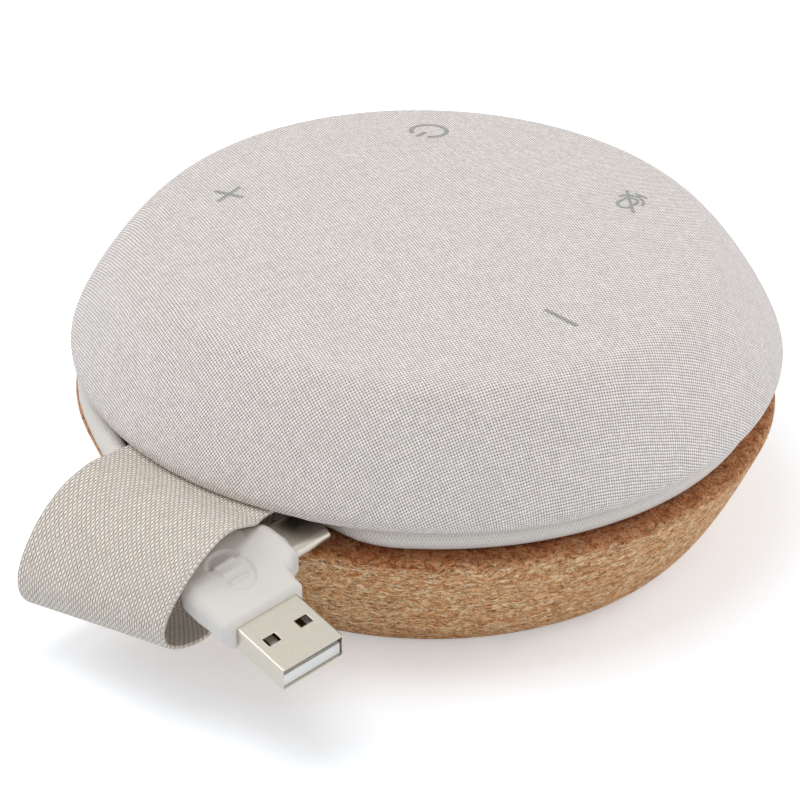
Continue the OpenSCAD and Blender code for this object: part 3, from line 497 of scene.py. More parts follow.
rim = Vector((CROWN_R, crown_z(CROWN_R)))
wide = Vector((HEAD_R, WIDE_Z))
slope = Vector((1, -2 * CROWN_DROP / CROWN_R))
shoulder = [rim, rim + SHOULDER_LEAVES * slope, wide + Vector((0, SHOULDER_ARRIVES)), wide]
radii = [CROWN_R * i / CROWN_STEPS for i in range(CROWN_STEPS + 1)]
outline = [Vector((r, crown_z(r))) for r in radii]
outline += [cubic(shoulder, i / SHOULDER_STEPS) for i in range(1, SHOULDER_STEPS + 1)]
for a in (math.radians(degrees) for degrees in range(10, 91, 10)):
    outline.append(Vector((HEAD_R - EDGE_ROUND * (1 - math.cos(a)),
                           WIDE_Z - (WIDE_Z - UNDER_Z) * math.sin(a))))
for i in range(1, UNDER_STEPS + 1):
    r = HEAD_R - EDGE_ROUND + (HEM_R - HEAD_R + EDGE_ROUND) * i / UNDER_STEPS
    outline.append(Vector((r, UNDER_Z)))
outline_runs = [0.0]
for a, b in zip(outline, outline[1:]):
    outline_runs.append(outline_runs[-1] + (b - a).length)
print("cloth from middle to hem in mm:", round(1000 * outline_runs[-1], 1))

# %% Cloth stretched over the head
# The recess reaches so far to either side of the line at the strap's angle, and then eases out
TURNS, CLOTH_T = 288, 0.6 * MM
RECESS_SIDES, RECESS_EASE = (-12.9 * MM, 22.3 * MM), 1.5 * MM


def tucked(p):
    """Lifts the underside of the cloth into the recess that takes the strap's end."""
    out = p.x * math.cos(STRAP_ANGLE) + p.y * math.sin(STRAP_ANGLE)
    side = -p.x * math.sin(STRAP_ANGLE) + p.y * math.cos(STRAP_ANGLE)
    off = max(RECESS_SIDES[0] - side, side - RECESS_SIDES[1], 0)
    if out < 0 or p.z > UNDER_Z + STRAP_RECESS:
        return p
    lift = max(0, 1 - off / RECESS_EASE) * (UNDER_Z + STRAP_RECESS - p.z)
    return p + Vector((0, 0, lift))


cloth_points, cloth_layout = [Vector((0, 0, outline[0].y))], [(0.0, 0.0)]
for (r, z), run in zip(outline[1:], outline_runs[1:]):
    for k in range(TURNS):
        a = 2 * math.pi * k / TURNS
        cloth_points.append(tucked(Vector((r * math.cos(a), r * math.sin(a), z))))
        cloth_layout.append((run * math.cos(a), run * math.sin(a)))
cloth_faces = [(0, 1 + k, 1 + (k + 1) % TURNS) for k in range(TURNS)]
cloth_faces += grid_faces(len(outline) - 1, TURNS, start=1)
cloth = mesh_piece("head_cloth", cloth_points, cloth_faces)
write_uv(cloth, lambda number, face: cloth_layout[number])
wall = cloth.modifiers.new("thickness", "SOLIDIFY")
wall.thickness, wall.offset = CLOTH_T, -1

# %% [markdown]
# ## Woven cloth
#
# A plain weave is two sets of threads that pass over and under one another. Each set is a row
# of round ridges, and a wave along each thread lifts it at every other crossing. The higher of
# the two sets is what the eye sees. Real yarn is uneven, so the rows wander a little, each
# crossing has its own tone, and the holes between four crossings are open by different amounts.

# %% Plain weave
# Height of the threads and of their wave, for the weft and for the warp. A power under 1 makes
# a thread's back broader than a plain wave.
EVEN, RIDGE_POWER = ((0.72, 0.28), (0.72, -0.28)), 0.75


def weave(tree, layout, pitch, turn, wander, heights=EVEN):
    """A plain weave: its height, a tone for each crossing and each hole, and the place in threads."""
    drift = add(tree, NOISE, {"Vector": layout, "Scale": scale_for(6.25), "Detail": 3})
    drift = add(tree, VECTOR, (drift.outputs["Color"], (0.5, 0.5, 0.5)), operation="SUBTRACT")
    moved = add(tree, VECTOR, (drift, (wander, wander, 0), layout), operation="MULTIPLY_ADD")
    turned = add(tree, "ShaderNodeMapping", {"Vector": moved, "Rotation": (0, 0, math.radians(turn)),
                                             "Scale": (1 / pitch[0], 1 / pitch[1], 1)})
    split = add(tree, "ShaderNodeSeparateXYZ", (turned,)).outputs
    sets = []
    for own, other, (thick, sway) in ((0, 1, heights[0]), (1, 0, heights[1])):
        number = add(tree, MATH, (split[own],), operation="ROUND")
        off = add(tree, MATH, (split[own], number), operation="SUBTRACT")
        angles = [add(tree, MATH, (v, math.pi), operation="MULTIPLY") for v in (off, number, split[other])]
        side, over, wave = [add(tree, MATH, (v,), operation="COSINE") for v in angles]
        side = add(tree, MATH, (side, 0.0), operation="MAXIMUM")
        ridge = add(tree, MATH, (side, RIDGE_POWER), operation="POWER")
        lift = add(tree, MATH, (over, wave), operation="MULTIPLY")
        lift = add(tree, MATH, (lift, sway), operation="MULTIPLY")
        sets.append((add(tree, MATH, (ridge, thick, lift), operation="MULTIPLY_ADD"), number))
    height = add(tree, MATH, (sets[0][0], sets[1][0]), operation="MAXIMUM")
    crossing = add(tree, "ShaderNodeCombineXYZ", (sets[0][1], sets[1][1]))
    tone = add(tree, "ShaderNodeTexWhiteNoise", {"Vector": crossing}, noise_dimensions="2D")
    corner = add(tree, VECTOR, (turned,), operation="FLOOR")
    hole = add(tree, "ShaderNodeTexWhiteNoise", {"Vector": corner}, noise_dimensions="2D")
    return height, tone, hole, split


# A slub is some 17 crossings long. From thread to thread the noise moves on by so much that no
# thread follows its neighbour.
SLUB_APART, SLUBS_PER_CROSSING = 5.37, 0.06


def slubs(tree, split, own, other):
    """Soft lighter and darker lengths along one set of threads, each thread with its own."""
    number = add(tree, MATH, (split[own],), operation="ROUND")
    apart = add(tree, MATH, (number, SLUB_APART), operation="MULTIPLY")
    along = add(tree, MATH, (split[other], SLUBS_PER_CROSSING), operation="MULTIPLY")
    place = add(tree, "ShaderNodeCombineXYZ", (apart, along))
    return add(tree, NOISE, {"Vector": place, "Scale": 1.0, "Detail": 2})


# %% Cloth finish
# The stops are those of a hole's bottom, a thread's top, and the lower and upper part of its
# side: the darker holes and sides are painted shade. Where thick lengths cross they fill the
# holes, more and more between the FULL values.
WEAVE_SHADE_STOPS, FULL = (0.15, 0.95, 0.42, 0.66), (0.92, 1.14)
DARKEST, OF_CROSSING, OF_MOTTLE, OF_SLUB = 0.73, 0.16, 0.10, 0.14


def cloth_finish(name, pitch, turn, colours, depth, tight, wander=0.5 * MM, heights=EVEN):
    """Woven polyester: dull, with a soft sheen; painted shade darkens the thread sides and the uneven holes.

    The fibres are far finer than the threads. A mottle of 0.9 mm, coarser than they are, stands
    for their uneven lie.
    """
    m, tree, shader = new_material(name, Roughness=0.85, Sheen_Weight=0.12, Sheen_Roughness=0.5)
    layout = add(tree, "ShaderNodeUVMap", uv_map="lay")
    height, tone, hole, split = weave(tree, layout, pitch, turn, wander, heights)
    runs = [slubs(tree, split, own, other) for own, other in ((0, 1), (1, 0))]
    full = add(tree, MATH, (runs[0], runs[1]))
    full = add(tree, "ShaderNodeMapRange", (full, *FULL, 0.0, tight))
    filled = add(tree, MATH, (hole, 0.6, 0.4), operation="MULTIPLY_ADD")
    filled = add(tree, MATH, (filled, full), operation="MULTIPLY")
    seen = add(tree, MATH, (height, filled), operation="MAXIMUM")
    # Low places of the weave are painted darker: painted shade in the holes and on the thread sides.
    body = add(tree, RAMP, {0: seen}, stops=tuple(zip(WEAVE_SHADE_STOPS, colours)))
    mottle = add(tree, NOISE, {"Vector": layout, "Scale": scale_for(0.91), "Detail": 3})
    shade = add(tree, MATH, (tone, OF_CROSSING, DARKEST), operation="MULTIPLY_ADD")
    shade = add(tree, MATH, (mottle, OF_MOTTLE, shade), operation="MULTIPLY_ADD")
    for run in runs:
        shade = add(tree, MATH, (run, OF_SLUB, shade), operation="MULTIPLY_ADD")
    colour = add(tree, VECTOR, (body, shade), operation="MULTIPLY")
    finish_with(tree, shader, colour.outputs[0], height.outputs[0], depth)
    return m


# %% The two cloths
CLOTH_PITCH, CLOTH_TURN, CLOTH_RELIEF, CLOTH_TIGHT = (0.5 * MM, 0.5 * MM), 30, 0.16 * MM, 0.5
WEBBING_PITCH, WEBBING_HEIGHTS = (0.58 * MM, 0.49 * MM), ((0.42, 0.1), (0.8, -0.3))
# Colours of a hole's bottom, a thread's top and its side low and high: the darker ones are painted shade.
HEAD_COLOURS_AND_SHADE = ("#2C201E", "#FFFBF8", "#95867F", "#E8DEDA")
WEBBING_COLOURS_AND_SHADE = ("#745B46", "#FFFFFB", "#C8B4A0", "#FCF5EC")
head_finish = cloth_finish("woven polyester cloth", CLOTH_PITCH, CLOTH_TURN, HEAD_COLOURS_AND_SHADE, CLOTH_RELIEF,
                           CLOTH_TIGHT)
strap_finish = cloth_finish("woven polyester webbing", WEBBING_PITCH, 0, WEBBING_COLOURS_AND_SHADE, 0.25 * MM, 0.3,
                            wander=0.2 * MM, heights=WEBBING_HEIGHTS)
dress(cloth, head_finish)
dress(strap, strap_finish)
print("cloth finish nodes:", len(head_finish.node_tree.nodes))

# %% [markdown]
# ## The cord's braid
#
# A braided sleeve is the same weave again, turned round the cord: two sets of strands wind both
# ways. The strands are fine and fuzzy, so the relief is low and a noise breaks it up.

# %% Braid finish
STRANDS, BRAID_LAY = 12, 6.2 * MM


def braid_finish(name):
    """Braided polyester: dull and fuzzy. The fuzz is drawn at 0.3 mm, coarser than it is."""
    m, tree, shader = new_material(name, Roughness=0.95, Sheen_Weight=0.25, Sheen_Roughness=0.6)
    layout = add(tree, "ShaderNodeUVMap", uv_map="lay")
    split = add(tree, "ShaderNodeSeparateXYZ", (layout,)).outputs
    run = add(tree, MATH, (split[0], BRAID_LAY), operation="DIVIDE")
    ways = [add(tree, MATH, (add(tree, MATH, (split[1], run), operation=way), STRANDS), operation="MULTIPLY")
            for way in ("ADD", "SUBTRACT")]
    height = weave(tree, add(tree, "ShaderNodeCombineXYZ", ways), (1, 1), 0, 0.0)[0]
    place = add(tree, "ShaderNodeTexCoord").outputs["Object"]
    fuzz = add(tree, NOISE, {"Vector": place, "Scale": scale_for(0.286), "Detail": 3})
    rough = add(tree, MATH, (fuzz, 0.6, height), operation="MULTIPLY_ADD")
    # Low places between the strands are painted darker, a painted shade; the fuzz adds a random tone.
    colour = add(tree, RAMP, {0: add(tree, MATH, (rough, 0.7), operation="MULTIPLY")},
                 stops=((0.2, "#C6BDB4"), (0.95, "#F4F0EA"), (0.6, "#E6E0D9")))
    finish_with(tree, shader, colour.outputs[0], rough.outputs[0], 0.12 * MM)
    return m


dress(cord, braid_finish("braided polyester sleeve"))
print("braid strands:", 2 * STRANDS)

# %% [markdown]
# ## Symbols on the cloth
#
# Four plain symbols are printed over the keys: power, mute, plus and minus. A print has no
# thickness to speak of, so each symbol is a flat stroke that is laid a hair above the cloth and
# follows its crown. It carries the cloth's own UV map, so the weave shows through the ink.

# %% Symbol strokes
KEY_RING, PROUD = 35.6 * MM, 0.04 * MM
# As on the cloth, the ink's darker holes and thread sides are painted shade.
INK_COLOURS_AND_SHADE = ("#3E3E3C", "#BCBEBA", "#7E807C", "#A4A7A3")
ink = cloth_finish("screen printed cloth", CLOTH_PITCH, CLOTH_TURN, INK_COLOURS_AND_SHADE, CLOTH_RELIEF, CLOTH_TIGHT)


def stroke(points, width, centre):
    """Points and faces of a flat stroke laid on the crown."""
    line, pairs = [Vector(p) * MM for p in points], []
    for i, p in enumerate(line):
        ahead = (line[min(i + 1, len(line) - 1)] - line[max(i - 1, 0)]).normalized()
        pairs.append((p, Vector((-ahead.y, ahead.x)) * width * MM / 2))
    return [centre + p + s * n for p, n in pairs for s in (-1, 1)], \
        [(2 * i, 2 * i + 2, 2 * i + 3, 2 * i + 1) for i in range(len(line) - 1)]


def symbol(name, angle, strokes):
    """One printed symbol from its strokes, each a list of points and a width in millimetres.

    The symbols are turned to be read from the back, away from the strap.
    """
    centre = polar(angle, KEY_RING).xy
    points, faces, layout = [], [], []
    for line, width in strokes:
        fine = [Vector(p) for p in line]
        fine = [a.lerp(b, k / 4) for a, b in zip(fine, fine[1:]) for k in range(4)] + [fine[-1]]
        flat, quads = stroke([(-p.x, -p.y) for p in fine], width, centre)
        start = len(points)
        points += [Vector((p.x, p.y, crown_z(p.length) + PROUD)) for p in flat]
        layout += [tuple(p * (outline_runs[CROWN_STEPS] / CROWN_R)) for p in flat]
        faces += [tuple(start + v for v in q) for q in quads]
    obj = mesh_piece(name, points, faces)
    write_uv(obj, lambda number, face: layout[number])
    dress(obj, ink)
    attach(obj, "housing")
    return obj


def arc(radius, first, last, steps=24, x=0.0, y=0.0):
    """Points of an arc between two angles in degrees."""
    angles = [math.radians(first + (last - first) * i / steps) for i in range(steps + 1)]
    return [(x + radius * math.cos(a), y + radius * math.sin(a)) for a in angles]


# %% The four symbols
# Strokes in millimetres from the middle of the key
BOLD, THIN, SLASH, CAPSULE_R = 0.8, 0.55, 0.6, 1.15
capsule = arc(CAPSULE_R, 0, 180, 12, 0, 1.9) + arc(CAPSULE_R, 180, 360, 12, 0, -0.3) + [(CAPSULE_R, 1.9)]
stand = [(arc(2.2, 180, 360, 20, 0, -0.2), THIN), ([(0, -2.4), (0, -3.4)], THIN),
         ([(-1.3, -3.4), (1.3, -3.4)], THIN)]
symbols = [
    symbol("symbol_power", 126, [(arc(3.1, 120, 420), BOLD), ([(0, 1.0), (0, 3.6)], BOLD)]),
    symbol("symbol_plus", 198, [([(-3, 0), (3, 0)], BOLD), ([(0, -3), (0, 3)], BOLD)]),
    symbol("symbol_minus", 342, [([(-3.15, 0), (3.15, 0)], BOLD)]),
    symbol("symbol_mute", 54, [(capsule, THIN), *stand, ([(-2.8, 3.2), (2.8, -3.2)], SLASH)])]
print("symbols:", len(symbols))

# %% [markdown]
# ## Cork
#
# Agglomerated cork is ground bark, pressed flat with a binder and turned on a lathe. Its grains
# lie in flat flakes of 0.5 to 2 mm that differ in tone, each is streaked, and dark pits and short
# cracks lie between them. Where the rim turns over it is darker: partly the grain that the lathe
# tears there, partly painted shade under the cord and the head.

# %% Cork finish
# Sizes in millimetres. The grain lies flat, so it is drawn out two or three times sideways.
FLAKE, CRUMB, STREAK, BEND, PIT, PATCH = 1.56, 0.667, 0.435, 2.38, 1.25, 1.11
BEND_BY, FLAKE_FLAT, STREAK_FLAT = (2.2 * MM, 2.2 * MM, 1.6 * MM), 2.3, 3.2
# The rim band darkens between these two heights and by this much: partly grain that the lathe tears, partly
# painted shade under the cord and the head.
SHADE_AND_TEAR_FROM, SHADE_AND_TEAR_TO, SHADE_AND_TEAR = 21.8 * MM, 23.6 * MM, 0.75
CORK_STOPS = ((0.32, "#B06C34"), (0.72, "#FFEECC"), (0.42, "#DE9E64"), (0.5, "#EDB884"), (0.6, "#F7CC9A"))


def cork_finish(name):
    """Agglomerated cork: dull, mottled in flat flakes, with cracks, pits and a rim darkened by grain that
    the lathe tears and by painted shade.
    """
    m, tree, shader = new_material(name, Roughness=0.82)
    place = add(tree, "ShaderNodeTexCoord").outputs["Object"]
    bend = add(tree, NOISE, {"Vector": place, "Scale": scale_for(BEND), "Detail": 3})
    bend = add(tree, VECTOR, (bend.outputs["Color"], (0.5, 0.5, 0.5)), operation="SUBTRACT")
    bent = add(tree, VECTOR, (bend, BEND_BY, place), operation="MULTIPLY_ADD")
    flat = add(tree, "ShaderNodeMapping", {"Vector": bent, "Scale": (1, 1, FLAKE_FLAT)})
    drawn = add(tree, "ShaderNodeMapping", {"Vector": bent, "Scale": (1, 1, STREAK_FLAT)})
    streaks = add(tree, NOISE, {"Vector": drawn, "Scale": scale_for(STREAK), "Detail": 5, "Roughness": 0.7})
    tone = 0.0
    for size in (FLAKE, CRUMB):
        grains = add(tree, CELLS, {"Vector": flat, "Scale": scale_for(size)})
        grain = add(tree, "ShaderNodeSeparateColor", (grains.outputs["Color"],))
        tone = add(tree, MATH, (grain, 0.2, tone), operation="MULTIPLY_ADD")
    tone = add(tree, MATH, (streaks, 0.6, tone), operation="MULTIPLY_ADD")
    body = add(tree, RAMP, {0: tone}, stops=CORK_STOPS)
    line = add(tree, CELLS, {"Vector": flat, "Scale": scale_for(FLAKE)}, feature="DISTANCE_TO_EDGE")
    line = add(tree, "ShaderNodeMapRange", (line, 0.0, 0.06, 0.35, 0.0))
    crack = add(tree, NOISE, {"Vector": drawn, "Scale": scale_for(CRUMB), "Detail": 4})
    crack = add(tree, MATH, (crack, 0.5), operation="SUBTRACT")
    crack = add(tree, MATH, (crack,), operation="ABSOLUTE")
    crack = add(tree, "ShaderNodeMapRange", (crack, 0.01, 0.04, 1.0, 0.0))
    where = add(tree, NOISE, {"Vector": flat, "Scale": scale_for(PATCH), "Detail": 2})
    where = add(tree, "ShaderNodeMapRange", (where, 0.44, 0.54, 0.0, 1.0))
    crack = add(tree, MATH, (crack, where), operation="MULTIPLY")
    pits = add(tree, NOISE, {"Vector": drawn, "Scale": scale_for(PIT), "Detail": 3})
    pits = add(tree, "ShaderNodeMapRange", (pits, 0.37, 0.31, 0.0, 0.8))
    dark = add(tree, MATH, (line, crack), operation="MAXIMUM")
    dark = add(tree, MATH, (dark, pits), operation="MAXIMUM")
    marked = add(tree, "ShaderNodeMix", {0: dark, 6: body, 7: tint("#6A3A1A")}, data_type="RGBA").outputs[2]
    height = add(tree, MATH, (streaks, 0.8), operation="MULTIPLY")
    height = add(tree, MATH, (height, dark), operation="SUBTRACT")
    # Darker at the rim: partly grain that the lathe tears, partly painted shade under the cord and the head.
    shade_and_tear = add(tree, "ShaderNodeSeparateXYZ", (bent,)).outputs[2]
    shade_and_tear = add(tree, "ShaderNodeMapRange", (shade_and_tear, SHADE_AND_TEAR_FROM, SHADE_AND_TEAR_TO, 0.0, SHADE_AND_TEAR))
    rim_shade_and_tear = add(tree, "ShaderNodeMix", {0: shade_and_tear, 6: marked, 7: tint("#C08C5C")}, data_type="RGBA",
                   blend_type="MULTIPLY").outputs[2]
    finish_with(tree, shader, rim_shade_and_tear, height.outputs[0], 0.16 * MM, 0.8)
    return m


dress(nodes["cork_base"], cork_finish("agglomerated cork"))
print("cork grains of", FLAKE, "and", CRUMB, "mm")

# %% [markdown]
# ## Softened and bevelled copies
#
# A moulding in soft-touch elastomer has no sharp edge anywhere. The CAD solid has the right form
# with plain edges, so a merged copy of it is given an even skin of small faces, which is then
# relaxed. The pressed metal shells get a copy too, with a small bevel that catches the light.

# %% Copies of CAD solids
SAME_POINT, FLAT, SHARP, SHELL_EDGE = 0.001 * MM, math.radians(0.5), math.radians(40), 0.09 * MM


def piece_from(work, name):
    """A new object from the mesh in hand."""
    mesh = bpy.data.meshes.new(name)
    work.to_mesh(mesh)
    work.free()
    obj = bpy.data.objects.new(name, mesh)
    bpy.context.scene.collection.objects.link(obj)
    return obj


def merged(node):
    """The mesh of a CAD node with its loose triangles joined, and flat ones made one face."""
    work = bmesh.new()
    work.from_mesh(nodes[node].data)
    bmesh.ops.remove_doubles(work, verts=work.verts, dist=SAME_POINT)
    bmesh.ops.dissolve_limit(work, angle_limit=FLAT, verts=work.verts, edges=work.edges)
    return work


def bevelled(node, name, width):
    """A copy of a CAD node with its edges rolled by a small width."""
    obj = piece_from(merged(node), name)
    edge = obj.modifiers.new("rolled edges", "BEVEL")
    edge.width, edge.segments, edge.limit_method, edge.angle_limit = width, 3, "ANGLE", SHARP
    obj.data.shade_smooth()
    even = obj.modifiers.new("flat faces stay flat", "WEIGHTED_NORMAL")
    even.mode, even.weight = "FACE_AREA", 100
    make_plain(obj)
    return obj


large_shell = bevelled("usb_a_shell", "large_plug_shell", SHELL_EDGE)
small_shell = bevelled("usb_c_shell", "small_plug_shell", SHELL_EDGE)
print("shell faces:", len(large_shell.data.polygons), len(small_shell.data.polygons))

# %% [markdown]
# The overmould's front half is a block with tight, even edges, and its back half, under the
# strap, is rounder. The block is an outline with rounded corners, drawn in at its edges and
# merged with the copy of the solid. Then the skin is drawn in behind the front, which leaves a
# collar round the large shell, and pressed down in the oval of the thumb grip, but for its bars.
# The underside rises towards its left side and under the arm, where the moulding is thinner.

# %% Block of the overmould
# Corners in millimetres in the plug's frame, each with the radius of its arc
BLOCK = [(-11, -7.95, 1.5), (-11, 8, 1.5), (-16.4, 8, 1.1), (-16.4, 12.25, 1.9), (-24.5, 12.3, 1.8),
         (-24.5, -7.95, 1.5)]
BLOCK_HALF, BLOCK_EDGE, EDGE_STEPS, CORNER_STEPS = 3.48, 1.3, 6, 6


def rounded_outline(corners, steps):
    """Points of an outline with an arc at each corner, and the way out of the shape at each."""
    points = []
    for i, (x, y, r) in enumerate(corners):
        here = Vector((x, y))
        before = (Vector(corners[i - 1][:2]) - here).normalized()
        after = (Vector(corners[(i + 1) % len(corners)][:2]) - here).normalized()
        half = before.angle(after) / 2
        centre = here + (before + after).normalized() * r / math.sin(half)
        first = before * r / math.tan(half) + here - centre
        last = after * r / math.tan(half) + here - centre
        hollow = -1 if before.cross(after) > 0 else 1
        for k in range(steps + 1):
            spoke = first.slerp(last, k / steps)
            points.append((centre + spoke, spoke.normalized() * hollow))
    return points


around = rounded_outline(BLOCK, CORNER_STEPS)
angles = [math.pi / 2 * k / EDGE_STEPS for k in range(EDGE_STEPS + 1)]
layers = [(BLOCK_EDGE * (1 - math.sin(a)), BLOCK_HALF - BLOCK_EDGE * (1 - math.cos(a))) for a in angles]
layers += [(inset, -z) for inset, z in reversed(layers)]
block_points = [in_plug(*(p - way * inset), z) for inset, z in layers for p, way in around]
count = len(around)
block_faces = grid_faces(len(layers), count)
block_faces += [tuple(range(count)), tuple(range(len(block_points) - count, len(block_points)))[::-1]]
block = mesh_piece("overmould_block", block_points, block_faces)
print("block points:", len(block_points))

# %% One skin for the overmould
SKIN_STEP, RELAX_PASSES = 0.16 * MM, 3
overmould = piece_from(merged("plug_body"), "plug_overmould")
joined = bmesh.new()
joined.from_mesh(overmould.data)
joined.from_mesh(block.data)
joined.to_mesh(overmould.data)
joined.free()
bpy.data.objects.remove(block)
skin = overmould.modifiers.new("even skin", "REMESH")
skin.mode, skin.voxel_size, skin.adaptivity = "VOXEL", SKIN_STEP, 0
relax = overmould.modifiers.new("relaxed edges", "SMOOTH")
relax.factor, relax.iterations = 0.5, RELAX_PASSES
make_plain(overmould)
print("overmould faces:", len(overmould.data.polygons))

# %% Collar and thumb grip
# All in millimetres in the plug's frame, but for the rim, which is a share of the grip's half.
# A pair is where a change begins and over how far it eases in, as a bar does at side and end.
# The skin is drawn in between the collar and the back, but not on the arm.
GRIP_AT, GRIP_HALF, GRIP_DEPTH, GRIP_RIM = Vector((-20.9, 0.5)), Vector((4.7, 3.5)), 0.28, 0.1
BARS, BAR_HALF, BAR_LENGTH, BAR_SIDE, BAR_END = (-2.1, 0, 2.1), 0.4, 1.9, 0.25, 0.3
DRAWN_IN, COLLAR, BACK, ARM_SIDE = 0.22, (-12.7, 1.1), (-19, 3), (8.6, 0.6)
ARM_RISE, ARM, SIDE_RISE, LEFT_SIDE, BELOW = 1.6, (7, 2), 1.1, (3, 5), 2.6


def ease(t):
    """A smooth step from 0 to 1."""
    t = max(0.0, min(1.0, t))
    return t * t * (3 - 2 * t)


def pressed_in(point, normal):
    """Where a point of the skin goes: in behind the collar, down in the grip, up at the lower sides."""
    out_of_plug = PLUG_TURN.transposed()
    x, y, z = out_of_plug @ (point - PLUG_AT) / MM
    drawn = DRAWN_IN * ease((COLLAR[0] - x) / COLLAR[1])
    drawn *= ease((x - BACK[0]) / BACK[1]) * ease((ARM_SIDE[0] - y) / ARM_SIDE[1])
    off = Vector((x, y)) - GRIP_AT
    inside = 1 - math.hypot(off.x / GRIP_HALF.x, off.y / GRIP_HALF.y)
    bar = max(ease((BAR_HALF - abs(off.x - bar_x)) / BAR_SIDE + 0.5) for bar_x in BARS)
    bar *= ease((BAR_LENGTH - abs(off.y)) / BAR_END + 0.5)
    on_top = (out_of_plug @ normal).z > 0.5
    pressed = GRIP_DEPTH * ease(inside / GRIP_RIM) * (1 - bar) if on_top else 0
    risen = max(ARM_RISE * ease((y - ARM[0]) / ARM[1]), SIDE_RISE * ease((-y - LEFT_SIDE[0]) / LEFT_SIDE[1]))
    risen *= ease(-z / BELOW)
    return point - normal * drawn * MM + PLUG_TURN @ Vector((0, 0, (risen - pressed) * MM))


as_made = [(v.co.copy(), v.normal.copy()) for v in overmould.data.vertices]
moved = [pressed_in(point, normal) for point, normal in as_made]
overmould.data.vertices.foreach_set("co", [c for p in moved for c in p])
overmould.data.update()
overmould.data.shade_smooth()
print("grip in mm:", 2 * GRIP_HALF.x, "by", 2 * GRIP_HALF.y)

# %% [markdown]
# ## The roll round the cone
#
# A half-round rubber roll joins the cone to its basket, and flexes as the cone moves. A copy of
# it takes the place of the CAD solid, which is hidden.

# %% Cone roll
cone_roll = piece_from(merged("cone_surround"), "cone_roll")
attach(cone_roll, "housing")
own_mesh(cone_roll)
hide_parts("cone_surround")

# %% [markdown]
# ## Hard finishes
#
# The plug is a soft-touch moulding over two nickel-plated shells. The pieces inside are only
# seen when the speaker is taken apart, but each still gets the finish of what it is made of.
# The mould's grain is drawn at 0.2 mm and a metal's lines at 0.4 mm. Both are coarser than the
# real ones, which are too fine to show.

# %% Moulded and metal finishes
def moulded(name, dark, light, roughness, grain, **values):
    """A dull moulded, pressed or cut material: a fine grain and a faint change of tone."""
    m, tree, shader = new_material(name, Roughness=roughness, **values)
    place = add(tree, "ShaderNodeTexCoord").outputs["Object"]
    cloud = add(tree, NOISE, {"Vector": place, "Scale": scale_for(11.1), "Detail": 3})
    colour = add(tree, RAMP, {0: cloud}, stops=((0.3, dark), (0.7, light)))
    fine = add(tree, NOISE, {"Vector": place, "Scale": scale_for(0.2), "Detail": 2})
    finish_with(tree, shader, colour.outputs[0], fine.outputs[0], grain, 0.5)
    return m


def metal(name, dark, light, roughness, stretch, depth=0.002 * MM):
    """A plated or rolled metal, with faint lines along one direction."""
    m, tree, shader = new_material(name, Metallic=1.0)
    place = add(tree, "ShaderNodeTexCoord").outputs["Object"]
    drawn = add(tree, "ShaderNodeMapping", {"Vector": place, "Scale": stretch})
    lines = add(tree, NOISE, {"Vector": drawn, "Scale": scale_for(0.4), "Detail": 3})
    colour = add(tree, RAMP, {0: lines}, stops=((0.25, dark), (0.75, light)))
    rough = add(tree, "ShaderNodeMapRange", {0: lines, 3: roughness - 0.03, 4: roughness + 0.03})
    tree.links.new(rough.outputs[0], shader.inputs["Roughness"])
    finish_with(tree, shader, colour.outputs[0], lines.outputs[0], depth, 0.3)
    return m


soft_touch = moulded("moulded soft touch elastomer", "#E3DFD9", "#E9E5DF", 0.6, 0.02 * MM)
nickel = metal("nickel plated steel", "#C2BCB0", "#C8C2B6", 0.3, (0.6, 0.6, 0.6), 0.0003 * MM)
dark_abs = moulded("moulded dark ABS", "#34322F", "#3C3A37", 0.55, 0.03 * MM)
grey_abs = moulded("moulded grey ABS", "#A9A7A3", "#B2B0AC", 0.5, 0.03 * MM)
white_lcp = moulded("moulded white liquid crystal polymer", "#ECEBE7", "#F6F5F2", 0.45, 0.01 * MM)
black_lcp = moulded("moulded black liquid crystal polymer", "#1B1B1C", "#242425", 0.45, 0.01 * MM)
print("finishes so far:", len(bpy.data.materials))

# %% Finishes of the pieces inside
rubber = moulded("moulded silicone rubber", "#232323", "#2B2B2B", 0.75, 0.02 * MM)
foam = moulded("cut polyether foam", "#1C1C1C", "#2A2A2A", 0.95, 0.15 * MM)
ferrite = moulded("sintered ferrite", "#38383B", "#434346", 0.6, 0.05 * MM)
paper = moulded("pressed paper pulp", "#1F1E1D", "#2C2B29", 0.85, 0.06 * MM)
treated_cloth = moulded("resin treated cotton", "#B98B3E", "#CDA45A", 0.8, 0.08 * MM)
laminate = moulded("glass epoxy laminate with solder mask", "#0F4A2B", "#165A36", 0.35, 0.01 * MM,
                   Coat_Weight=0.4)
steel = metal("zinc plated steel", "#B9BAB8", "#CFD0CE", 0.3, (1, 1, 0.2))
frame_steel = metal("pressed black steel", "#3A3A3C", "#464648", 0.4, (1, 1, 1))
copper = metal("enamelled copper wire", "#A8642F", "#C47E42", 0.3, (1, 1, 12), 0.02 * MM)
gold = metal("gold plated bronze", "#D9AE52", "#E8C573", 0.22, (0.1, 1, 1))

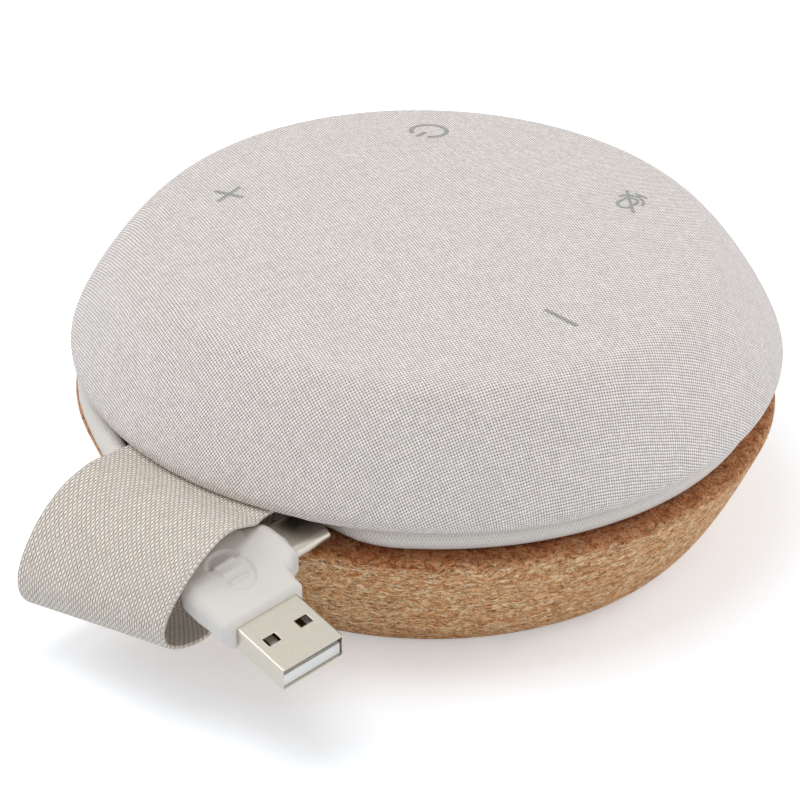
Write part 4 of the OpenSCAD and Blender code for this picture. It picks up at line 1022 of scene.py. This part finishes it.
# %% Which node gets which finish
FINISHES = {
    "plug_body": soft_touch, "usb_a_shell": nickel, "usb_c_shell": nickel, "usb_a_tongue": white_lcp,
    "usb_a_contacts": gold, "usb_c_liner": black_lcp, "head_shell": dark_abs, "cord_spool": dark_abs,
    "base_pan": dark_abs, "cord_gland": rubber, "rubber_foot": rubber, "driver_gasket": foam,
    "key_power": grey_abs, "key_mute": grey_abs, "key_plus": grey_abs, "key_minus": grey_abs,
    "key_board": laminate, "main_board": laminate, "push_switches": black_lcp, "microphones": gold,
    "board_parts": steel, "board_screws": steel, "driver_screws": steel, "head_screws": steel,
    "base_screws": steel, "driver_basket": frame_steel, "driver_top_plate": steel, "driver_yoke": steel,
    "driver_magnet": ferrite, "voice_coil": copper, "speaker_cone": paper, "dust_cap": paper,
    "cone_surround": rubber, "cone_spider": treated_cloth}
for name, finish in FINISHES.items():
    dress(nodes[name], finish)
COPIES = ((overmould, soft_touch), (cone_roll, rubber), (large_shell, nickel), (small_shell, nickel))
for piece, finish in COPIES:
    dress(piece, finish)
print("nodes with a finish:", len(FINISHES))

# %% [markdown]
# ## Floor, backdrop and light
#
# The photograph was taken on white, with light from the upper left and a soft shadow. The floor
# keeps the shadow: it is lit like any surface, and for the camera and for reflections it also
# glows a little, so that its lit part reaches white while its shaded part stays grey. Further
# out, where the lamps don't reach, it glows more, so that no horizon shows in a low view.

# %% Floor
# The glow near the speaker, and how far from it, in metres, the glow starts to grow and is full
PAPER_LIFT, GLOW_GROWS, GLOW_FULL, FLOOR_HALF = 0.37, 0.25, 0.9, 3


def seen_directly(tree):
    """1 for what the camera, a reflection or a clear pane sees, and 0 for light on a surface."""
    rays = add(tree, "ShaderNodeLightPath").outputs
    seen = add(tree, MATH, (rays["Is Camera Ray"], rays["Is Glossy Ray"]), operation="MAXIMUM")
    return add(tree, MATH, (seen, rays["Is Transmission Ray"]), operation="MAXIMUM")


corners = [(x * FLOOR_HALF, y * FLOOR_HALF, 0) for x, y in ((-1, -1), (1, -1), (1, 1), (-1, 1))]
floor = mesh_piece("floor", corners, [(0, 1, 2, 3)])
paper_white, tree, shader = new_material("white studio paper", Roughness=0.95, Base_Color=tint("#F1F7FE"),
                                         Emission_Color=(1, 1, 1, 1))
place = add(tree, "ShaderNodeTexCoord").outputs["Object"]
far = add(tree, VECTOR, (place,), operation="LENGTH").outputs["Value"]
lift = add(tree, "ShaderNodeMapRange", (far, GLOW_GROWS, GLOW_FULL, PAPER_LIFT, 1.0))
glow = add(tree, MATH, (seen_directly(tree), lift), operation="MULTIPLY")
tree.links.new(glow.outputs[0], shader.inputs["Emission Strength"])
dress(floor, paper_white)
print("floor lift:", PAPER_LIFT)

# %% World
FILL = 0.45
world = bpy.data.worlds.new("studio")
bpy.context.scene.world = world
world.use_nodes = True
tree = world.node_tree
strength = add(tree, MATH, (seen_directly(tree), 1 - FILL, FILL), operation="MULTIPLY_ADD")
tree.links.new(strength.outputs[0], tree.nodes["Background"].inputs["Strength"])
tree.nodes["Background"].inputs["Color"].default_value = (1, 1, 1, 1)
print("fill light:", FILL)


# %% Lamps
def softbox(name, offset, size, power):
    """A square lamp at an offset from the point it looks at, in metres and watts."""
    data = bpy.data.lights.new(name, "AREA")
    data.size, data.energy = size, power
    obj = bpy.data.objects.new(name, data)
    obj.location = AIM + offset
    obj.rotation_euler = (-offset).to_track_quat("-Z", "Y").to_euler()
    bpy.context.scene.collection.objects.link(obj)


forward, up = Vector((math.sin(AZIMUTH), -math.cos(AZIMUTH), 0)), Vector((0, 0, 1))
softbox("top light", -0.2 * level + 0.1 * forward + 0.9 * up, 0.5, 2.4)
softbox("low light", 0.6 * level + 0.7 * forward + 0.05 * up, 0.5, 1.4)
softbox("key light", -0.9 * level - 0.2 * back + 0.75 * up, 0.6, 2.9)
softbox("rim light", 0.8 * level - 0.4 * back + 0.6 * up, 0.5, 2.3)
bpy.context.scene.view_settings.view_transform = "Standard"
print("lamps:", len(bpy.data.lights))

# %% [markdown]
# ## Which piece stands for which solid
#
# The soft pieces take the place of the plain CAD solids, which stay in the physics model and
# are hidden here. Everything rides on the housing.

# %% Declarations
DRESSED = [(cord, "cord_braid", ("cord_coil", "cord_tail")), (strap, "webbing", ("strap",)),
           (cloth, "cover_cloth", ("cloth_cover",)), (overmould, "overmould", ("plug_body",)),
           (large_shell, "plug_nickel", ("usb_a_shell",)), (small_shell, "plug_nickel", ("usb_c_shell",)),
           (selvage, "webbing", ())]
for piece, slot, stands_for in DRESSED:
    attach(piece, "housing")
    if stands_for:
        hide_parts(*stands_for)
tuple(route[0])
